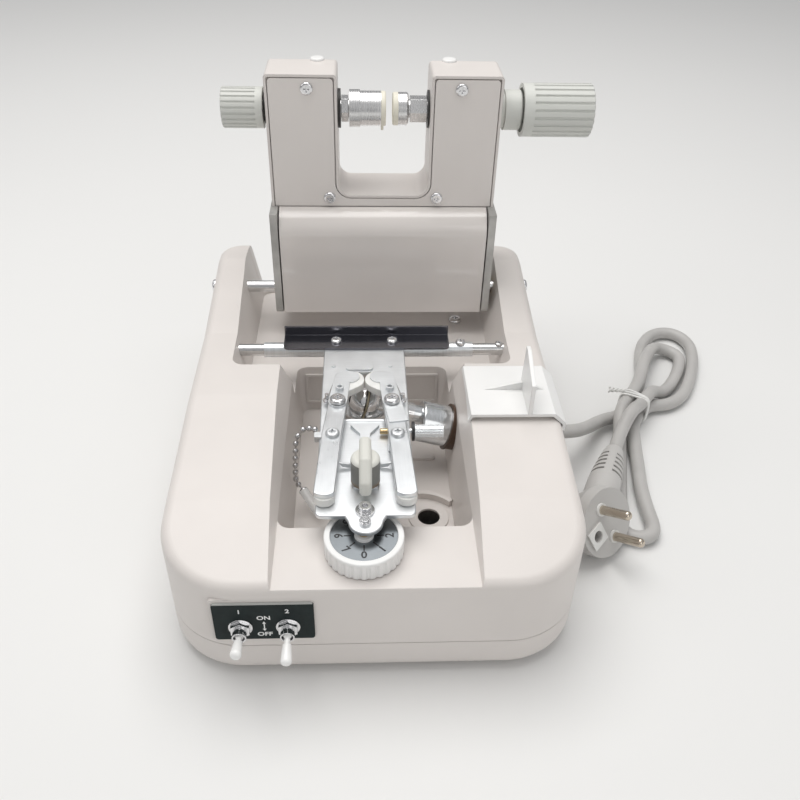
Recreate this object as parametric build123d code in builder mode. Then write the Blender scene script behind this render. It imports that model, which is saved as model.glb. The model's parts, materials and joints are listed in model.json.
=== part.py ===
"""Lens groover: a table machine that cuts a groove in the rim of a spectacle lens.

Millimetres, +Z up. The origin is on the table under the middle of the housing. +X is to the
right of a person who faces the switches, and +Y points away from that person.
"""
import os
from math import cos, pi, radians, sin, sqrt, tan

from build123d import *

os.makedirs("parts", exist_ok=True)

# Driving dimensions: housing. HEAD_X and HEAD_W are the middle and width of the lens head
HEAD_X = 7.0
HEAD_W = 127.0
CASE_W = 190.0
CASE_D = 264.0
HALF_W = CASE_W / 2
FRONT_Y = -CASE_D / 2
BACK_Y = CASE_D / 2
CASE_WALL = 3.0
FRONT_CORNER_R = 36.0
REAR_CORNER_R = 14.0
FOOT_H = 2.0
PARTING_Z = 22.0
PARTING_GAP = 0.3
FRONT_TOP_Z = 60.0
SHOULDER_Z = 73.0
EAR_RISE = 11.0
RAMP_L = 44.9
RAMP_END_Y = -15.8
EAR_FOOT_Y = 39.6
TOP_EDGE_R = 5.0
BASE_EDGE_R = 8.0
DECK_Z = 48.0
LEDGE_Z = 58.0
WELL_FLOOR_Z = 22.0
WELL_HALF_W = 44.5
WELL_DRAFT = 3.5
WELL_FRONT_INSET = 36.0
WELL_FRONT_Y = FRONT_Y + WELL_FRONT_INSET
WELL_BACK_Y = 45.5
WELL_END_DRAFT = 9.0
WELL_CORNER_R = 6.0
CHANNEL_SLOPE = 1 / 3
REAR_HALF_W = HEAD_X + HEAD_W / 2
REAR_SLOPE = 0.2
REAR_FRONT_Y = 17.0
REAR_FRONT_SLOPE = 0.28
REAR_LIP = 2.0
POST_R = 5.0
POST_INSET = (15.0, 38.0, 20.0)
POST_X = HALF_W - POST_INSET[0]
POST_Y = (FRONT_Y + POST_INSET[1], BACK_Y - POST_INSET[2])
DRAIN_R = 5.7
DRAIN_RING_R = 10.4
DRAIN_RING_H = 0.8
DRAIN_X = 28.3
DRAIN_Y = -55.4

FOOT_R = 8.0
FOOT_STEM_R = 3.0
FOOT_INSET = (29.0, 28.0)
FOOT_X = HALF_W - FOOT_INSET[0]
FOOT_Y = (FRONT_Y + FOOT_INSET[1], BACK_Y - FOOT_INSET[1])
SCREW_R = 1.75
SCREW_HEAD_R = 3.6
SCREW_SEAT_Z = 12.0
DECK_SCREW = (53.8, 93.7)
SUPPLY_Y = -33.0
SUPPLY_L = 58.0
SUPPLY_TOP_Z = 40.0
SUPPLY_GAP = 4.0

# Driving dimensions: hinge and lens head
SHAFT_END_WALL = 3.0
SHAFT_END = HALF_W - SHAFT_END_WALL
SHAFT_R = 3.5
SHAFT_INSET = 36.5
SHAFT_Y = BACK_Y - SHAFT_INSET
SHAFT_Z = 72.3
RUN = 0.05
HEAD_LEFT = HEAD_X - HEAD_W / 2
HEAD_RIGHT = HEAD_X + HEAD_W / 2
HEAD_FACE_Y = SHAFT_Y - 6.0
HEAD_T = 34.0
HEAD_TOP_Z = 201.5
HEAD_WALL = 2.5
HEAD_BACK_R = 7.0
NOTCH_W = 50.5
NOTCH_LEFT = HEAD_X - NOTCH_W / 2
NOTCH_RIGHT = HEAD_X + NOTCH_W / 2
CHUCK_DROP = 22.7
CHUCK_Z = HEAD_TOP_Z - CHUCK_DROP
NOTCH_DROP = 44.0
NOTCH_Z = CHUCK_Z - NOTCH_DROP
NOTCH_R = 7.0
COVER_FACE_Y = HEAD_FACE_Y - 12.0
COVER_BOTTOM_Z = 64.5
COVER_TOP_Z = NOTCH_Z - 6.8
COVER_T = 2.0
SIDE_T = 4.2
SIDE_GAP = 0.8
FRONT_PLATE_T = 2.0
FRONT_PLATE_GAP = 0.5
RIM_T = 1.4
PLATE_SCREW_INSET = (22.4, 7.0)
PLATE_SCREW_LOW = (5.2, 1.3)
PLATE_SCREWS = (
    (HEAD_LEFT + PLATE_SCREW_INSET[0], HEAD_TOP_Z - PLATE_SCREW_INSET[1]),
    (HEAD_RIGHT - PLATE_SCREW_INSET[0], HEAD_TOP_Z - PLATE_SCREW_INSET[1]),
    (NOTCH_LEFT - PLATE_SCREW_LOW[0], NOTCH_Z - PLATE_SCREW_LOW[1]),
    (NOTCH_RIGHT + PLATE_SCREW_LOW[0], NOTCH_Z - PLATE_SCREW_LOW[1]),
)
HEAD_PLUG_INSET = 27.2
HEAD_PLUG_Y = HEAD_FACE_Y + 27.5
HEAD_PLUGS = ((HEAD_LEFT + HEAD_PLUG_INSET, HEAD_PLUG_Y), (HEAD_RIGHT - HEAD_PLUG_INSET, HEAD_PLUG_Y))
PLUG_STEM_R = 2.6
HINGE_BUSH_R = 5.0

# Driving dimensions: chucks and knobs
CHUCK_Y = SHAFT_Y + 10.5
SPINDLE_R = 5.0
HEX_R = 7.2
LEFT_CUP_R = 9.3
LEFT_FLANGE_R = 10.0
RIGHT_CUP_R = 8.8
PAD_T = 2.6
LENS_GAP = 3.8
LEFT_KNOB_R = 10.9
LEFT_KNOB_L = 22.5
RIGHT_KNOB_R = 14.3
RIGHT_KNOB_L = 38.8
COLLAR_R = 10.8
FLUTES = 22
FLUTE_R = 0.75
PULLEY_R = 8.0
DRIVE_PULLEY_R = 6.4
BELT_T = 1.2
BELT_W = 5.0
BELT_INSET = 18.5
BELT_X = (HEAD_LEFT + BELT_INSET, HEAD_RIGHT - BELT_INSET)
DRIVE_Z = 92.0
DRIVE_R = 3.0
DRIVE_WEB_INSET = 10.5
DRIVE_WEBS = (HEAD_LEFT + DRIVE_WEB_INSET, HEAD_RIGHT - DRIVE_WEB_INSET)
QUILL_R = 7.0
BEARING_R = 7.0
LEFT_HEX_X = NOTCH_LEFT + 2.05
LEFT_FLANGE_X = LEFT_HEX_X + 4.3
LEFT_PAD_X = LEFT_FLANGE_X + 17.5
COLLAR_L = 13.1
RIGHT_KNOB_X = HEAD_RIGHT + COLLAR_L
QUILL_IN_KNOB = 18.4
QUILL_END = RIGHT_KNOB_X + QUILL_IN_KNOB
COLLAR_NECK_R = 9.5

# Driving dimensions: grooving wheel and its motor
WHEEL_X = -4.4
WHEEL_Y = -11.0
WHEEL_Z = 63.5
WHEEL_R = 10.0
WHEEL_T = 0.8
MOTOR_TILT = 15.5
MOTOR_R = 11.2
MOTOR_OFFSET = 4.5
MOTOR_L = 38.0
BOSS_R = 4.4
MOTOR_SHAFT_R = 2.0
MOTOR_FACE = 31.0
GROMMET_U = 50.5
GROMMET_R = 12.0
GROMMET_LIP = 0.6
MOTOR_WELL = (52.0, 88.0, -33.0, 3.0)
HUB_R = 4.6
LID_T = 1.6
COVER_SEAT_Z = 73.6
COVER_FRONT_Y = -37.0
COVER_REAR_Y = 5.0
FIN_T = 2.0
FIN_X = 78.0
FIN_TOP_Z = 100.5
FIN_FRONT_Z = 92.5
FIN_APEX_Y = (-17.0, -13.5)
CROSS_FIN_Y = -15.2
CROSS_FIN_Z = 80.0
CROSS_FIN_X = (53.5, 91.0)
GUARD_R = 8.6
GUARD_T = 0.7
GUARD_SLOT = 1.9
GUARD_RING_R = 11.5
GUARD_RING_DROP = 4.0
GUARD_RING_T = 1.2

# Driving dimensions: guide plate and its rod
ROD_R = 3.4
ROD_Y = 34.0
ROD_Z = 66.5
ROD_IN_WALL = 7.0
ROD_END = REAR_HALF_W + ROD_IN_WALL
SLEEVE_R = 4.2
SLEEVE_L = 117.5
SLEEVE_SCREW_X = 50.0
PLATE_X = -4.4
WINDOW_W = 20.9
WINDOW_Y = (-38.5, 3.0)
PLATE_W = 44.2
PLATE_T = 2.0
DIAL_INSET = 22.5
DIAL_Y = FRONT_Y + DIAL_INSET
PLATE_FRONT_Y = DIAL_Y + 6.0
TONGUE_Y = DIAL_Y - 4.3
TONGUE_R = 7.6
DOT_X = (-21.0, 9.5)
DOT_Y = 8.3
BRACKET_W = 92.0
BRACKET_T = 1.2
BRACKET_H = 6.5

# Driving dimensions: guide arms
ARM_GAP = 4.3
ARM_T = 2.5
ARM_W = 9.4
ARM_FRONT_Y = PLATE_FRONT_Y + 8.0
ARM_FRONT_X = 18.2
ARM_END_BULGE = 1.9
ARM_BLOCK_BULGE = 3.2
PIVOT_X = 13.4
PIVOT_Y = -31.8
PIVOT_R = 2.0
HOOK_Y = -24.5
SHOE_Y = -13.0
SHOE_R = 7.6
SHOE_SCREW_X = 12.6
SHOE_SCREW_Y = -22.3
SHOE_LEG_R = 4.0
SHOE_TIP_X = 7.4
SHOE_TIP_Y = -11.2
SHOE_TIP_R = 4.7
SHOE_ELBOW_X = 11.2
SHOE_PLATE_T = 0.8
ARM_SCREW_Y = -56.5

ARM_MID_X = 15.9
SHOE_TOP_Z = 79.7
POSITION_Y = -49.5
POSITION_Z = 75.4
POSITION_TIP_X = 2.7
POSITION_R = 1.5
BRACKET_SCREWS = (-20.1, 11.1)
BRACKET_SCREW_Y = 31.2
PLATE_HOLES = (
    (PLATE_X - 0.3, PLATE_FRONT_Y + 2.8, 1.6),
    (PLATE_X - 0.3, DIAL_Y + 1.6, 1.8),
    (PLATE_X - PIVOT_X, PIVOT_Y, 2.0),
    (PLATE_X + PIVOT_X, PIVOT_Y, 2.0),
    (BRACKET_SCREWS[0], BRACKET_SCREW_Y, SCREW_R),
    (BRACKET_SCREWS[1], BRACKET_SCREW_Y, SCREW_R),
)

# Ball chain, from the lug of the guide plate down to its peg
CHAIN = (
    (-28.2, -48.0, 73.6),
    (-28.8, -45.2, 73.4),
    (-31.7, -42.3, 71.6),
    (-35.0, -40.5, 69.4),
    (-37.7, -40.8, 65.6),
    (-38.9, -41.4, 61.2),
    (-39.2, -42.0, 56.8),
    (-39.5, -42.5, 52.4),
    (-39.7, -43.0, 48.0),
    (-39.9, -43.3, 43.6),
    (-39.9, -43.6, 39.2),
    (-38.8, -43.2, 34.9),
)
PEG = ((-36.8, -44.0, 32.4), (-28.0, -56.0, 26.5))

# Driving dimensions: mode knob, dial, switches
KNOB_Y = PLATE_FRONT_Y + 20.5
KNOB_R = 6.6
KNOB_H = 14.2
KNOB_BAR_W = 5.4
KNOB_BAR_FRONT = 12.8
KNOB_BAR_REAR = 14.0
DIAL_X = -5.2
DIAL_R = 17.5
DIAL_H = 9.0
DIAL_FLUTES = 30
DIAL_SCALLOP_R = 1.1
DIAL_SCALLOP_DEPTH = 0.5
DIAL_RIM_H = 1.6
DIAL_RIM_ROUND = 0.7
STEM_R = 2.4
STEM_TOP_Z = 69.0
SWITCH_Z = 36.3
SWITCH_X = (-58.4, -38.0)
SWITCH_TILT = 13.0
SWITCH_PLATE_W = 43.0
SWITCH_PLATE_H = 23.4
SWITCH_PLATE_T = 1.0
BUSH_R = 3.1
LEVER_BALL_R = 2.0
LEVER_L = 13.5
LEVER_PIN_R = 0.7
LEVER_PIN_L = 4.7
LEVER_ROOM_R = 2.5

# Driving dimensions: mains cord
CORD_R = 4.0
CORD_EXIT_Y = 3.0
CORD_EXIT_Z = 30.0
GLAND_R = 6.0
# Centre line of the cord: out of the gland, round the upper loop, down and back, round again, to the plug
CORD_ROUTE = (
    (83.0, 3.0, 30.0),
    (113.0, 3.0, 30.0),
    (130.0, 24.0, 16.0),
    (143.0, 41.5, 7.2),
    (157.4, 47.6, 5.8),
    (167.6, 60.5, 5.4),
    (176.0, 75.0, 4.6),
    (183.0, 92.0, 4.4),
    (187.5, 112.0, 4.4),
    (193.5, 130.5, 4.4),
    (205.5, 145.0, 4.4),
    (220.5, 146.0, 4.4),
    (228.5, 133.0, 4.4),
    (226.0, 114.0, 4.4),
    (216.0, 89.0, 4.4),
    (204.5, 69.0, 4.4),
    (191.5, 59.5, 4.8),
    (177.0, 58.4, 5.6),
    (163.4, 41.2, 5.6),
    (160.0, 22.0, 4.6),
    (157.0, 3.0, 4.4),
    (153.5, -16.0, 4.4),
    (152.4, -34.0, 4.4),
    (152.4, -50.3, 4.4),
    (145.9, -55.7, 4.4),
    (137.4, -54.2, 4.4),
    (132.9, -46.3, 4.4),
    (137.9, -31.5, 4.4),
    (142.0, -14.0, 4.4),
    (147.0, 6.0, 4.4),
    (151.0, 24.0, 6.2),
    (154.4, 43.4, 14.9),
    (168.0, 61.5, 14.6),
    (177.0, 78.0, 14.0),
    (184.5, 97.0, 13.4),
    (194.0, 114.0, 11.2),
    (201.0, 122.2, 7.4),
    (210.3, 122.1, 4.9),
    (216.2, 114.8, 4.4),
    (213.2, 104.6, 4.4),
    (207.5, 93.0, 4.4),
    (199.5, 80.5, 4.4),
    (191.0, 71.5, 5.6),
    (183.0, 67.0, 10.8),
    (177.2, 59.2, 14.8),
    (168.0, 46.2, 15.6),
    (158.6, 34.8, 20.7),
    (147.4, 17.5, 15.07),
    (135.64, -8.96, 15.97),
)
TIE_AT = (166.0, 51.5, 5.9)
TIE_WAY = (0.62, 0.785, 0.0)
TIE_W = 2.2
TIE_T = 1.0
TIE_SLACK = 0.6
TIE_STRANDS = ((-4.3, 0.0), (4.3, 0.0), (-4.3, 9.3), (4.3, 8.9))
PLUG_AT = (120.7, -60.2, 21.5)
PLUG_FACING = (0.56, -0.70, 0.44)
PIN_LINE = (0.47, -0.16, -0.87)
RELIEF_TOP = (140.5, 2.0, 15.6)
PLUG_R = 18.5
EARTH_OFFSET = -10.0
PIN_PITCH = 19.0
PIN_R = 2.4
PIN_L = 19.0

# Small working clearances
BODY_GAP = 0.3


# Shared shapes
def bar(start, end, radius, hole=0.0):
    """A round bar between two points, or a tube when it has a hole."""
    start = Vector(*start)
    end = Vector(*end)
    axis = end - start
    with BuildPart() as made:
        with BuildSketch(Plane(origin=start, z_dir=axis)):
            Circle(radius)
            if hole:
                Circle(hole, mode=Mode.SUBTRACT)
        extrude(amount=axis.length)
    return made.part


def block(low, high, edge=0.0, axis=Axis.Z):
    """A box between two corners, with the edges along one axis rounded."""
    size = [b - a for a, b in zip(low, high)]
    centre = [(a + b) / 2 for a, b in zip(low, high)]
    with BuildPart() as made:
        with Locations(tuple(centre)):
            Box(*size)
        if edge:
            fillet(made.edges().filter_by(axis), radius=edge)
    return made.part


def screw(seat, direction, head_r, head_h, shank_r, shank_l):
    """A domed cross-head screw. Its seat is under the head, and direction points out of it."""
    seat = Vector(*seat)
    out = Vector(*direction).normalized()
    with BuildPart() as made:
        with BuildSketch(Plane(origin=seat, z_dir=out)):
            Circle(head_r)
        extrude(amount=head_h)
        top = made.faces().sort_by(Axis(seat, out))[-1]
        fillet(top.edges(), radius=head_h * 0.7)
        with BuildSketch(Plane(origin=seat + out * head_h, z_dir=out)):
            Rectangle(head_r * 0.9, head_r * 0.22)
            Rectangle(head_r * 0.22, head_r * 0.9)
        extrude(amount=-head_h * 0.6, mode=Mode.SUBTRACT)
        with BuildSketch(Plane(origin=seat, z_dir=out)):
            Circle(shank_r)
        extrude(amount=-shank_l)
    return made.part


def fluted(plane, radius, length, count, groove_r, depth):
    """A knob body with round grooves of a chosen radius and depth along its rim."""
    with BuildPart() as made:
        with BuildSketch(plane):
            Circle(radius)
            with PolarLocations(radius + groove_r - depth, count):
                Circle(groove_r, mode=Mode.SUBTRACT)
        extrude(amount=length)
    return made.part


def well(low_z, low, high_z, high, corner):
    """A drafted pocket, lofted between a rounded rectangle at each height.

    Each rectangle is (left, right, front, back)."""
    with BuildPart() as made:
        for z, (left, right, front, back) in ((low_z, low), (high_z, high)):
            with BuildSketch(Plane.XY.offset(z)):
                with Locations(((left + right) / 2, (front + back) / 2)):
                    RectangleRounded(right - left, back - front, corner)
        loft()
    return made.part


def slab(outline, plane, depth):
    """A flat outline laid on a plane and given a depth along the plane's normal."""
    with BuildPart() as made:
        with BuildSketch(plane):
            add(outline)
        extrude(amount=depth)
    return made.part


def group(label, *pieces):
    """Several separate solids in one labelled node."""
    with BuildPart() as made:
        for piece in pieces:
            add(piece)
    made.part.label = label
    return made.part


def save(part, label):
    part.label = label
    export_step(part, f"parts/{label}.step")


# Housing
def case_outline(inset):
    """The plan of the housing, drawn in by inset."""
    front_r = FRONT_CORNER_R - inset
    rear_r = REAR_CORNER_R - inset
    half = HALF_W - inset
    front = FRONT_Y + inset
    back = BACK_Y - inset
    with BuildSketch() as made:
        with BuildLine():
            Line((-half + front_r, front), (half - front_r, front))
            RadiusArc((half - front_r, front), (half, front + front_r), -front_r)
            Line((half, front + front_r), (half, back - rear_r))
            RadiusArc((half, back - rear_r), (half - rear_r, back), -rear_r)
            Line((half - rear_r, back), (-half + rear_r, back))
            RadiusArc((-half + rear_r, back), (-half, back - rear_r), -rear_r)
            Line((-half, back - rear_r), (-half, front + front_r))
            RadiusArc((-half, front + front_r), (-half + front_r, front), -front_r)
        make_face()
    return made.sketch


def case_block(inset, low_z):
    """The outside form of the upper housing, or the form of its hollow when inset."""
    shoulder = SHOULDER_Z - inset
    ear = SHOULDER_Z + EAR_RISE - inset
    with BuildPart() as made:
        with BuildSketch(Plane.YZ):
            with BuildLine():
                Polyline(
                    (FRONT_Y - 1, low_z),
                    (FRONT_Y - 1, FRONT_TOP_Z - inset),
                    (FRONT_Y + RAMP_L, (FRONT_TOP_Z + shoulder) / 2 + 0.5),
                    (RAMP_END_Y, shoulder),
                    (EAR_FOOT_Y, shoulder + 1),
                    (SHAFT_Y + 14, ear),
                    (BACK_Y - inset * 2, ear - 1),
                    (BACK_Y + 1, ear - 6),
                    (BACK_Y + 1, low_z),
                    close=True,
                )
            make_face()
        extrude(amount=HALF_W + 1, both=True)
        with BuildSketch(Plane.XY.offset(low_z)):
            add(case_outline(inset))
        extrude(amount=ear, mode=Mode.INTERSECT)
    return made.part




def deep_form(grow):
    """The deep well, or the outside of its walls when it is grown."""
    half = WELL_HALF_W + grow
    foot = half - WELL_DRAFT
    front = WELL_FRONT_Y - grow
    back = WELL_BACK_Y + grow
    low = (-foot, foot, front + WELL_END_DRAFT, back - WELL_END_DRAFT)
    high = (-half, half, front, back)
    return well(WELL_FLOOR_Z - grow, low, LEDGE_Z, high, WELL_CORNER_R)


def channel_form(grow):
    """The shallow channel that runs from the front edge to the rear well."""
    rise = 2 * (SHOULDER_Z - LEDGE_Z)
    half = WELL_HALF_W + grow
    wide = half + rise * CHANNEL_SLOPE
    front = FRONT_Y - 2 * WELL_CORNER_R
    back = REAR_FRONT_Y + 10
    low = (-half, half, front, back)
    high = (-wide, wide, front, back)
    return well(LEDGE_Z - grow, low, LEDGE_Z - grow + rise, high, WELL_CORNER_R)


def rear_form(grow, low_z, back):
    """The rear well between the two ears."""
    rise = 42.0
    half = REAR_HALF_W + grow
    wide = half + rise * REAR_SLOPE
    front = REAR_FRONT_Y - grow
    low = (-half, half, front, back)
    high = (-wide, wide, front - rise * REAR_FRONT_SLOPE, back)
    return well(low_z - grow, low, low_z - grow + rise, high, WELL_CORNER_R)


def frame_rib(width, height, rib):
    """A raised rectangular frame on the sloping back wall of the deep well."""
    slope = WELL_END_DRAFT / (LEDGE_Z - WELL_FLOOR_Z)
    middle = (WELL_FLOOR_Z + DECK_Z) / 2
    wall_y = WELL_BACK_Y - WELL_END_DRAFT + slope * (middle - WELL_FLOOR_Z)
    plane = Plane(origin=(0, wall_y, middle), x_dir=(1, 0, 0), z_dir=(0, -1, slope))
    with BuildPart() as made:
        with BuildSketch(plane):
            Rectangle(width, height)
            Rectangle(width - 2 * rib, height - 2 * rib, mode=Mode.SUBTRACT)
        extrude(amount=rib, both=True)
    return made.part


ROOM_Z = WELL_FLOOR_Z - CASE_WALL
WALL_X = HALF_W - CASE_WALL
OPEN_BACK_Y = BACK_Y + 20

with BuildPart() as skin:
    add(case_block(0, ROOM_Z))
    top_edges = skin.edges().filter_by(lambda e: e.center().Z > LEDGE_Z - 4)
    outer_top = top_edges.filter_by(lambda e: abs(e.center().X) > 5 or e.center().Y < FRONT_Y + 10)
    fillet(outer_top, radius=TOP_EDGE_R)

with BuildPart() as inner_walls:
    add(deep_form(CASE_WALL))
    add(channel_form(CASE_WALL))
    add(rear_form(CASE_WALL, DECK_Z, OPEN_BACK_Y))
    add(skin.part, mode=Mode.INTERSECT)

with BuildPart() as hollow:
    add(case_block(CASE_WALL, ROOM_Z - 1))
    add(deep_form(CASE_WALL), mode=Mode.SUBTRACT)
    add(channel_form(CASE_WALL), mode=Mode.SUBTRACT)
    add(rear_form(CASE_WALL, DECK_Z, OPEN_BACK_Y), mode=Mode.SUBTRACT)

with BuildPart() as below_parting:
    add(case_block(-1, ROOM_Z - 1))
    add(block((-CASE_W, -CASE_D, PARTING_Z), (CASE_W, CASE_D, CASE_D)), mode=Mode.SUBTRACT)
    add(deep_form(CASE_WALL), mode=Mode.SUBTRACT)

switch_left = SWITCH_X[0] - SWITCH_PLATE_W / 2 + (SWITCH_X[1] - SWITCH_X[0]) / 2
switch_right = switch_left + SWITCH_PLATE_W
switch_low = SWITCH_Z - 0.36 * SWITCH_PLATE_H
switch_high = switch_low + SWITCH_PLATE_H
motor_way = (cos(radians(MOTOR_TILT)), 0, -sin(radians(MOTOR_TILT)))
motor_down = (-sin(radians(MOTOR_TILT)), 0, -cos(radians(MOTOR_TILT)))


def on_motor(along, below=0.0):
    """A point on the tilted wheel axis, or below it at right angles."""
    wheel = Vector(WHEEL_X, WHEEL_Y, WHEEL_Z)
    return wheel + Vector(*motor_way) * along + Vector(*motor_down) * below


with BuildPart() as housing:
    add(skin.part)
    add(hollow.part, mode=Mode.SUBTRACT)
    add(inner_walls.part)
    add(below_parting.part, mode=Mode.SUBTRACT)
    # Ear bosses, rod bosses, screw posts and the stem boss
    for side in (-1, 1):
        add(bar((side * REAR_HALF_W, SHAFT_Y, SHAFT_Z), (side * WALL_X, SHAFT_Y, SHAFT_Z), 2 * SHAFT_R))
        add(bar((side * (REAR_HALF_W + 2), ROD_Y, ROD_Z), (side * WALL_X, ROD_Y, ROD_Z), 1.8 * ROD_R))
        add(bar((side * POST_X, POST_Y[0], PARTING_Z), (side * POST_X, POST_Y[0], LEDGE_Z + 6.5),
                POST_R))
        add(bar((side * POST_X, POST_Y[1], PARTING_Z), (side * POST_X, POST_Y[1], SHAFT_Z), POST_R))
    add(bar((DIAL_X, DIAL_Y, LEDGE_Z - 14), (DIAL_X, DIAL_Y, LEDGE_Z - 1), 2.6 * STEM_R))
    # Flat seat behind the switch plate
    seat_low = (switch_left - 1.5, FRONT_Y, switch_low - 1.5)
    seat_high = (switch_right + 1.5, FRONT_Y + 2 * CASE_WALL, switch_high + 1.5)
    add(block(seat_low, seat_high, 2.0, Axis.Y))
    # Well, channel and rear well
    add(deep_form(0), mode=Mode.SUBTRACT)
    add(channel_form(0), mode=Mode.SUBTRACT)
    add(rear_form(0, DECK_Z, BACK_Y - CASE_WALL), mode=Mode.SUBTRACT)
    add(rear_form(0, DECK_Z + REAR_LIP, OPEN_BACK_Y), mode=Mode.SUBTRACT)
    # Drain spout, floor pad and guard wall
    add(bar((DRAIN_X, DRAIN_Y, 6), (DRAIN_X, DRAIN_Y, ROOM_Z + 1), DRAIN_R + 2))
    add(block((15.4, -11.0, WELL_FLOOR_Z - 1), (34.5, 8.0, WELL_FLOOR_Z + 1.6), 2.0))
    with BuildSketch(Plane.XY.offset(WELL_FLOOR_Z - 1)):
        with BuildLine():
            ThreePointArc((23, -40), (32, -41.2), (40.4, -46.9))
        trace(line_width=2.6)
    extrude(amount=4.6)
    add(bar((DRAIN_X, DRAIN_Y, WELL_FLOOR_Z - 1), (DRAIN_X, DRAIN_Y, WELL_FLOOR_Z + DRAIN_RING_H),
            DRAIN_RING_R))
    add(frame_rib(78.0, 18.0, 1.4))
    # Holes: drain, hinge shaft, rod, stem, switches, motor, cord gland and screws
    add(bar((DRAIN_X, DRAIN_Y, 0), (DRAIN_X, DRAIN_Y, WELL_FLOOR_Z + 1), DRAIN_R), mode=Mode.SUBTRACT)
    for side in (-1, 1):
        shaft_in = (side * (REAR_HALF_W - 2), SHAFT_Y, SHAFT_Z)
        shaft_end = (side * SHAFT_END, SHAFT_Y, SHAFT_Z)
        outside = (side * (HALF_W + 1), SHAFT_Y, SHAFT_Z)
        add(bar(shaft_in, shaft_end, SHAFT_R + RUN), mode=Mode.SUBTRACT)
        add(bar(shaft_end, outside, SCREW_R + RUN), mode=Mode.SUBTRACT)
        rod_in = (side * (REAR_HALF_W - 2), ROD_Y, ROD_Z)
        add(bar(rod_in, (side * ROD_END, ROD_Y, ROD_Z), ROD_R + RUN), mode=Mode.SUBTRACT)
        for y in POST_Y:
            post = (side * POST_X, y, PARTING_Z - 1)
            add(bar(post, (side * POST_X, y, PARTING_Z + 14), SCREW_R + RUN), mode=Mode.SUBTRACT)
    stem_low = (DIAL_X, DIAL_Y, LEDGE_Z - 20)
    add(bar(stem_low, (DIAL_X, DIAL_Y, LEDGE_Z + 2), STEM_R + RUN), mode=Mode.SUBTRACT)
    for x in SWITCH_X:
        add(bar((x, FRONT_Y - 1, SWITCH_Z), (x, FRONT_Y + 8, SWITCH_Z), BUSH_R + RUN),
            mode=Mode.SUBTRACT)
    add(bar(on_motor(GROMMET_U - 9, MOTOR_OFFSET), on_motor(GROMMET_U + 9, MOTOR_OFFSET),
            GROMMET_R + RUN),
        mode=Mode.SUBTRACT)
    add(block((MOTOR_WELL[0], MOTOR_WELL[2], LEDGE_Z - 2),
              (MOTOR_WELL[1], MOTOR_WELL[3], SHOULDER_Z + 5), 3.0),
        mode=Mode.SUBTRACT)
    cord_wall = (WALL_X - 3, CORD_EXIT_Y, CORD_EXIT_Z)
    add(bar(cord_wall, (HALF_W + 2, CORD_EXIT_Y, CORD_EXIT_Z), GLAND_R + RUN), mode=Mode.SUBTRACT)
    deck_hole = (DECK_SCREW[0], DECK_SCREW[1], DECK_Z + 1)
    add(bar(deck_hole, (DECK_SCREW[0], DECK_SCREW[1], DECK_Z - 12), SCREW_R + RUN), mode=Mode.SUBTRACT)
save(housing.part, "housing")

shell_top = PARTING_Z - PARTING_GAP
with BuildPart() as bottom_shell:
    with BuildSketch(Plane.XY.offset(FOOT_H)):
        add(case_outline(0))
    extrude(amount=shell_top - FOOT_H)
    fillet(bottom_shell.faces().sort_by(Axis.Z)[0].edges(), radius=BASE_EDGE_R)
    with BuildSketch(Plane.XY.offset(FOOT_H + CASE_WALL)):
        add(case_outline(CASE_WALL + 3))
    extrude(amount=shell_top, mode=Mode.SUBTRACT)
    for side in (-1, 1):
        for y in POST_Y:
            foot = (side * POST_X, y, FOOT_H + 0.5)
            add(bar(foot, (side * POST_X, y, shell_top), POST_R + 1))
            add(bar((side * POST_X, y, 0), (side * POST_X, y, SCREW_SEAT_Z), SCREW_HEAD_R + 0.6),
                mode=Mode.SUBTRACT)
            add(bar((side * POST_X, y, 0), (side * POST_X, y, PARTING_Z), SCREW_R + 0.2),
                mode=Mode.SUBTRACT)
        for y in FOOT_Y:
            add(bar((side * FOOT_X, y, 0), (side * FOOT_X, y, FOOT_H + CASE_WALL + 1),
                    FOOT_STEM_R + RUN),
                mode=Mode.SUBTRACT)
    add(bar((DRAIN_X, DRAIN_Y, 0), (DRAIN_X, DRAIN_Y, PARTING_Z), DRAIN_R + 2.5), mode=Mode.SUBTRACT)
    # Two saddle posts carry the wheel motor
    for along in (MOTOR_FACE + 30, MOTOR_FACE + MOTOR_L - 3):
        middle = on_motor(along, MOTOR_OFFSET)
        low = (middle.X - 2.5, middle.Y - 8, FOOT_H + 1)
        add(block(low, (middle.X + 2.5, middle.Y + 8, middle.Z)))
    motor_rear = on_motor(MOTOR_FACE + MOTOR_L + 20, MOTOR_OFFSET)
    add(bar(on_motor(MOTOR_FACE, MOTOR_OFFSET), motor_rear, MOTOR_R + RUN), mode=Mode.SUBTRACT)
save(bottom_shell.part, "bottom_shell")

feet = []
for x in (-FOOT_X, FOOT_X):
    for y in FOOT_Y:
        feet.append(bar((x, y, 0), (x, y, FOOT_H), FOOT_R))
        feet.append(bar((x, y, FOOT_H - 0.5), (x, y, FOOT_H + CASE_WALL), FOOT_STEM_R))
        feet.append(bar((x, y, FOOT_H + CASE_WALL), (x, y, FOOT_H + CASE_WALL + 1.5),
                        FOOT_STEM_R + 1.2))
save(group("rubber_feet", *feet), "rubber_feet")

case_screws = [screw((DECK_SCREW[0], DECK_SCREW[1], DECK_Z), (0, 0, 1), SCREW_HEAD_R + 0.4, 2.4,
                     SCREW_R, 8)]
for side in (-1, 1):
    case_screws.append(screw((side * HALF_W, SHAFT_Y, SHAFT_Z), (side, 0, 0), 4.2, 2.4, SCREW_R, 12))
    for y in POST_Y:
        seat = (side * POST_X, y, SCREW_SEAT_Z)
        case_screws.append(screw(seat, (0, 0, -1), SCREW_HEAD_R, 2.4, SCREW_R,
                                 PARTING_Z + 8 - SCREW_SEAT_Z))
save(group("case_screws", *case_screws), "case_screws")

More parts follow.
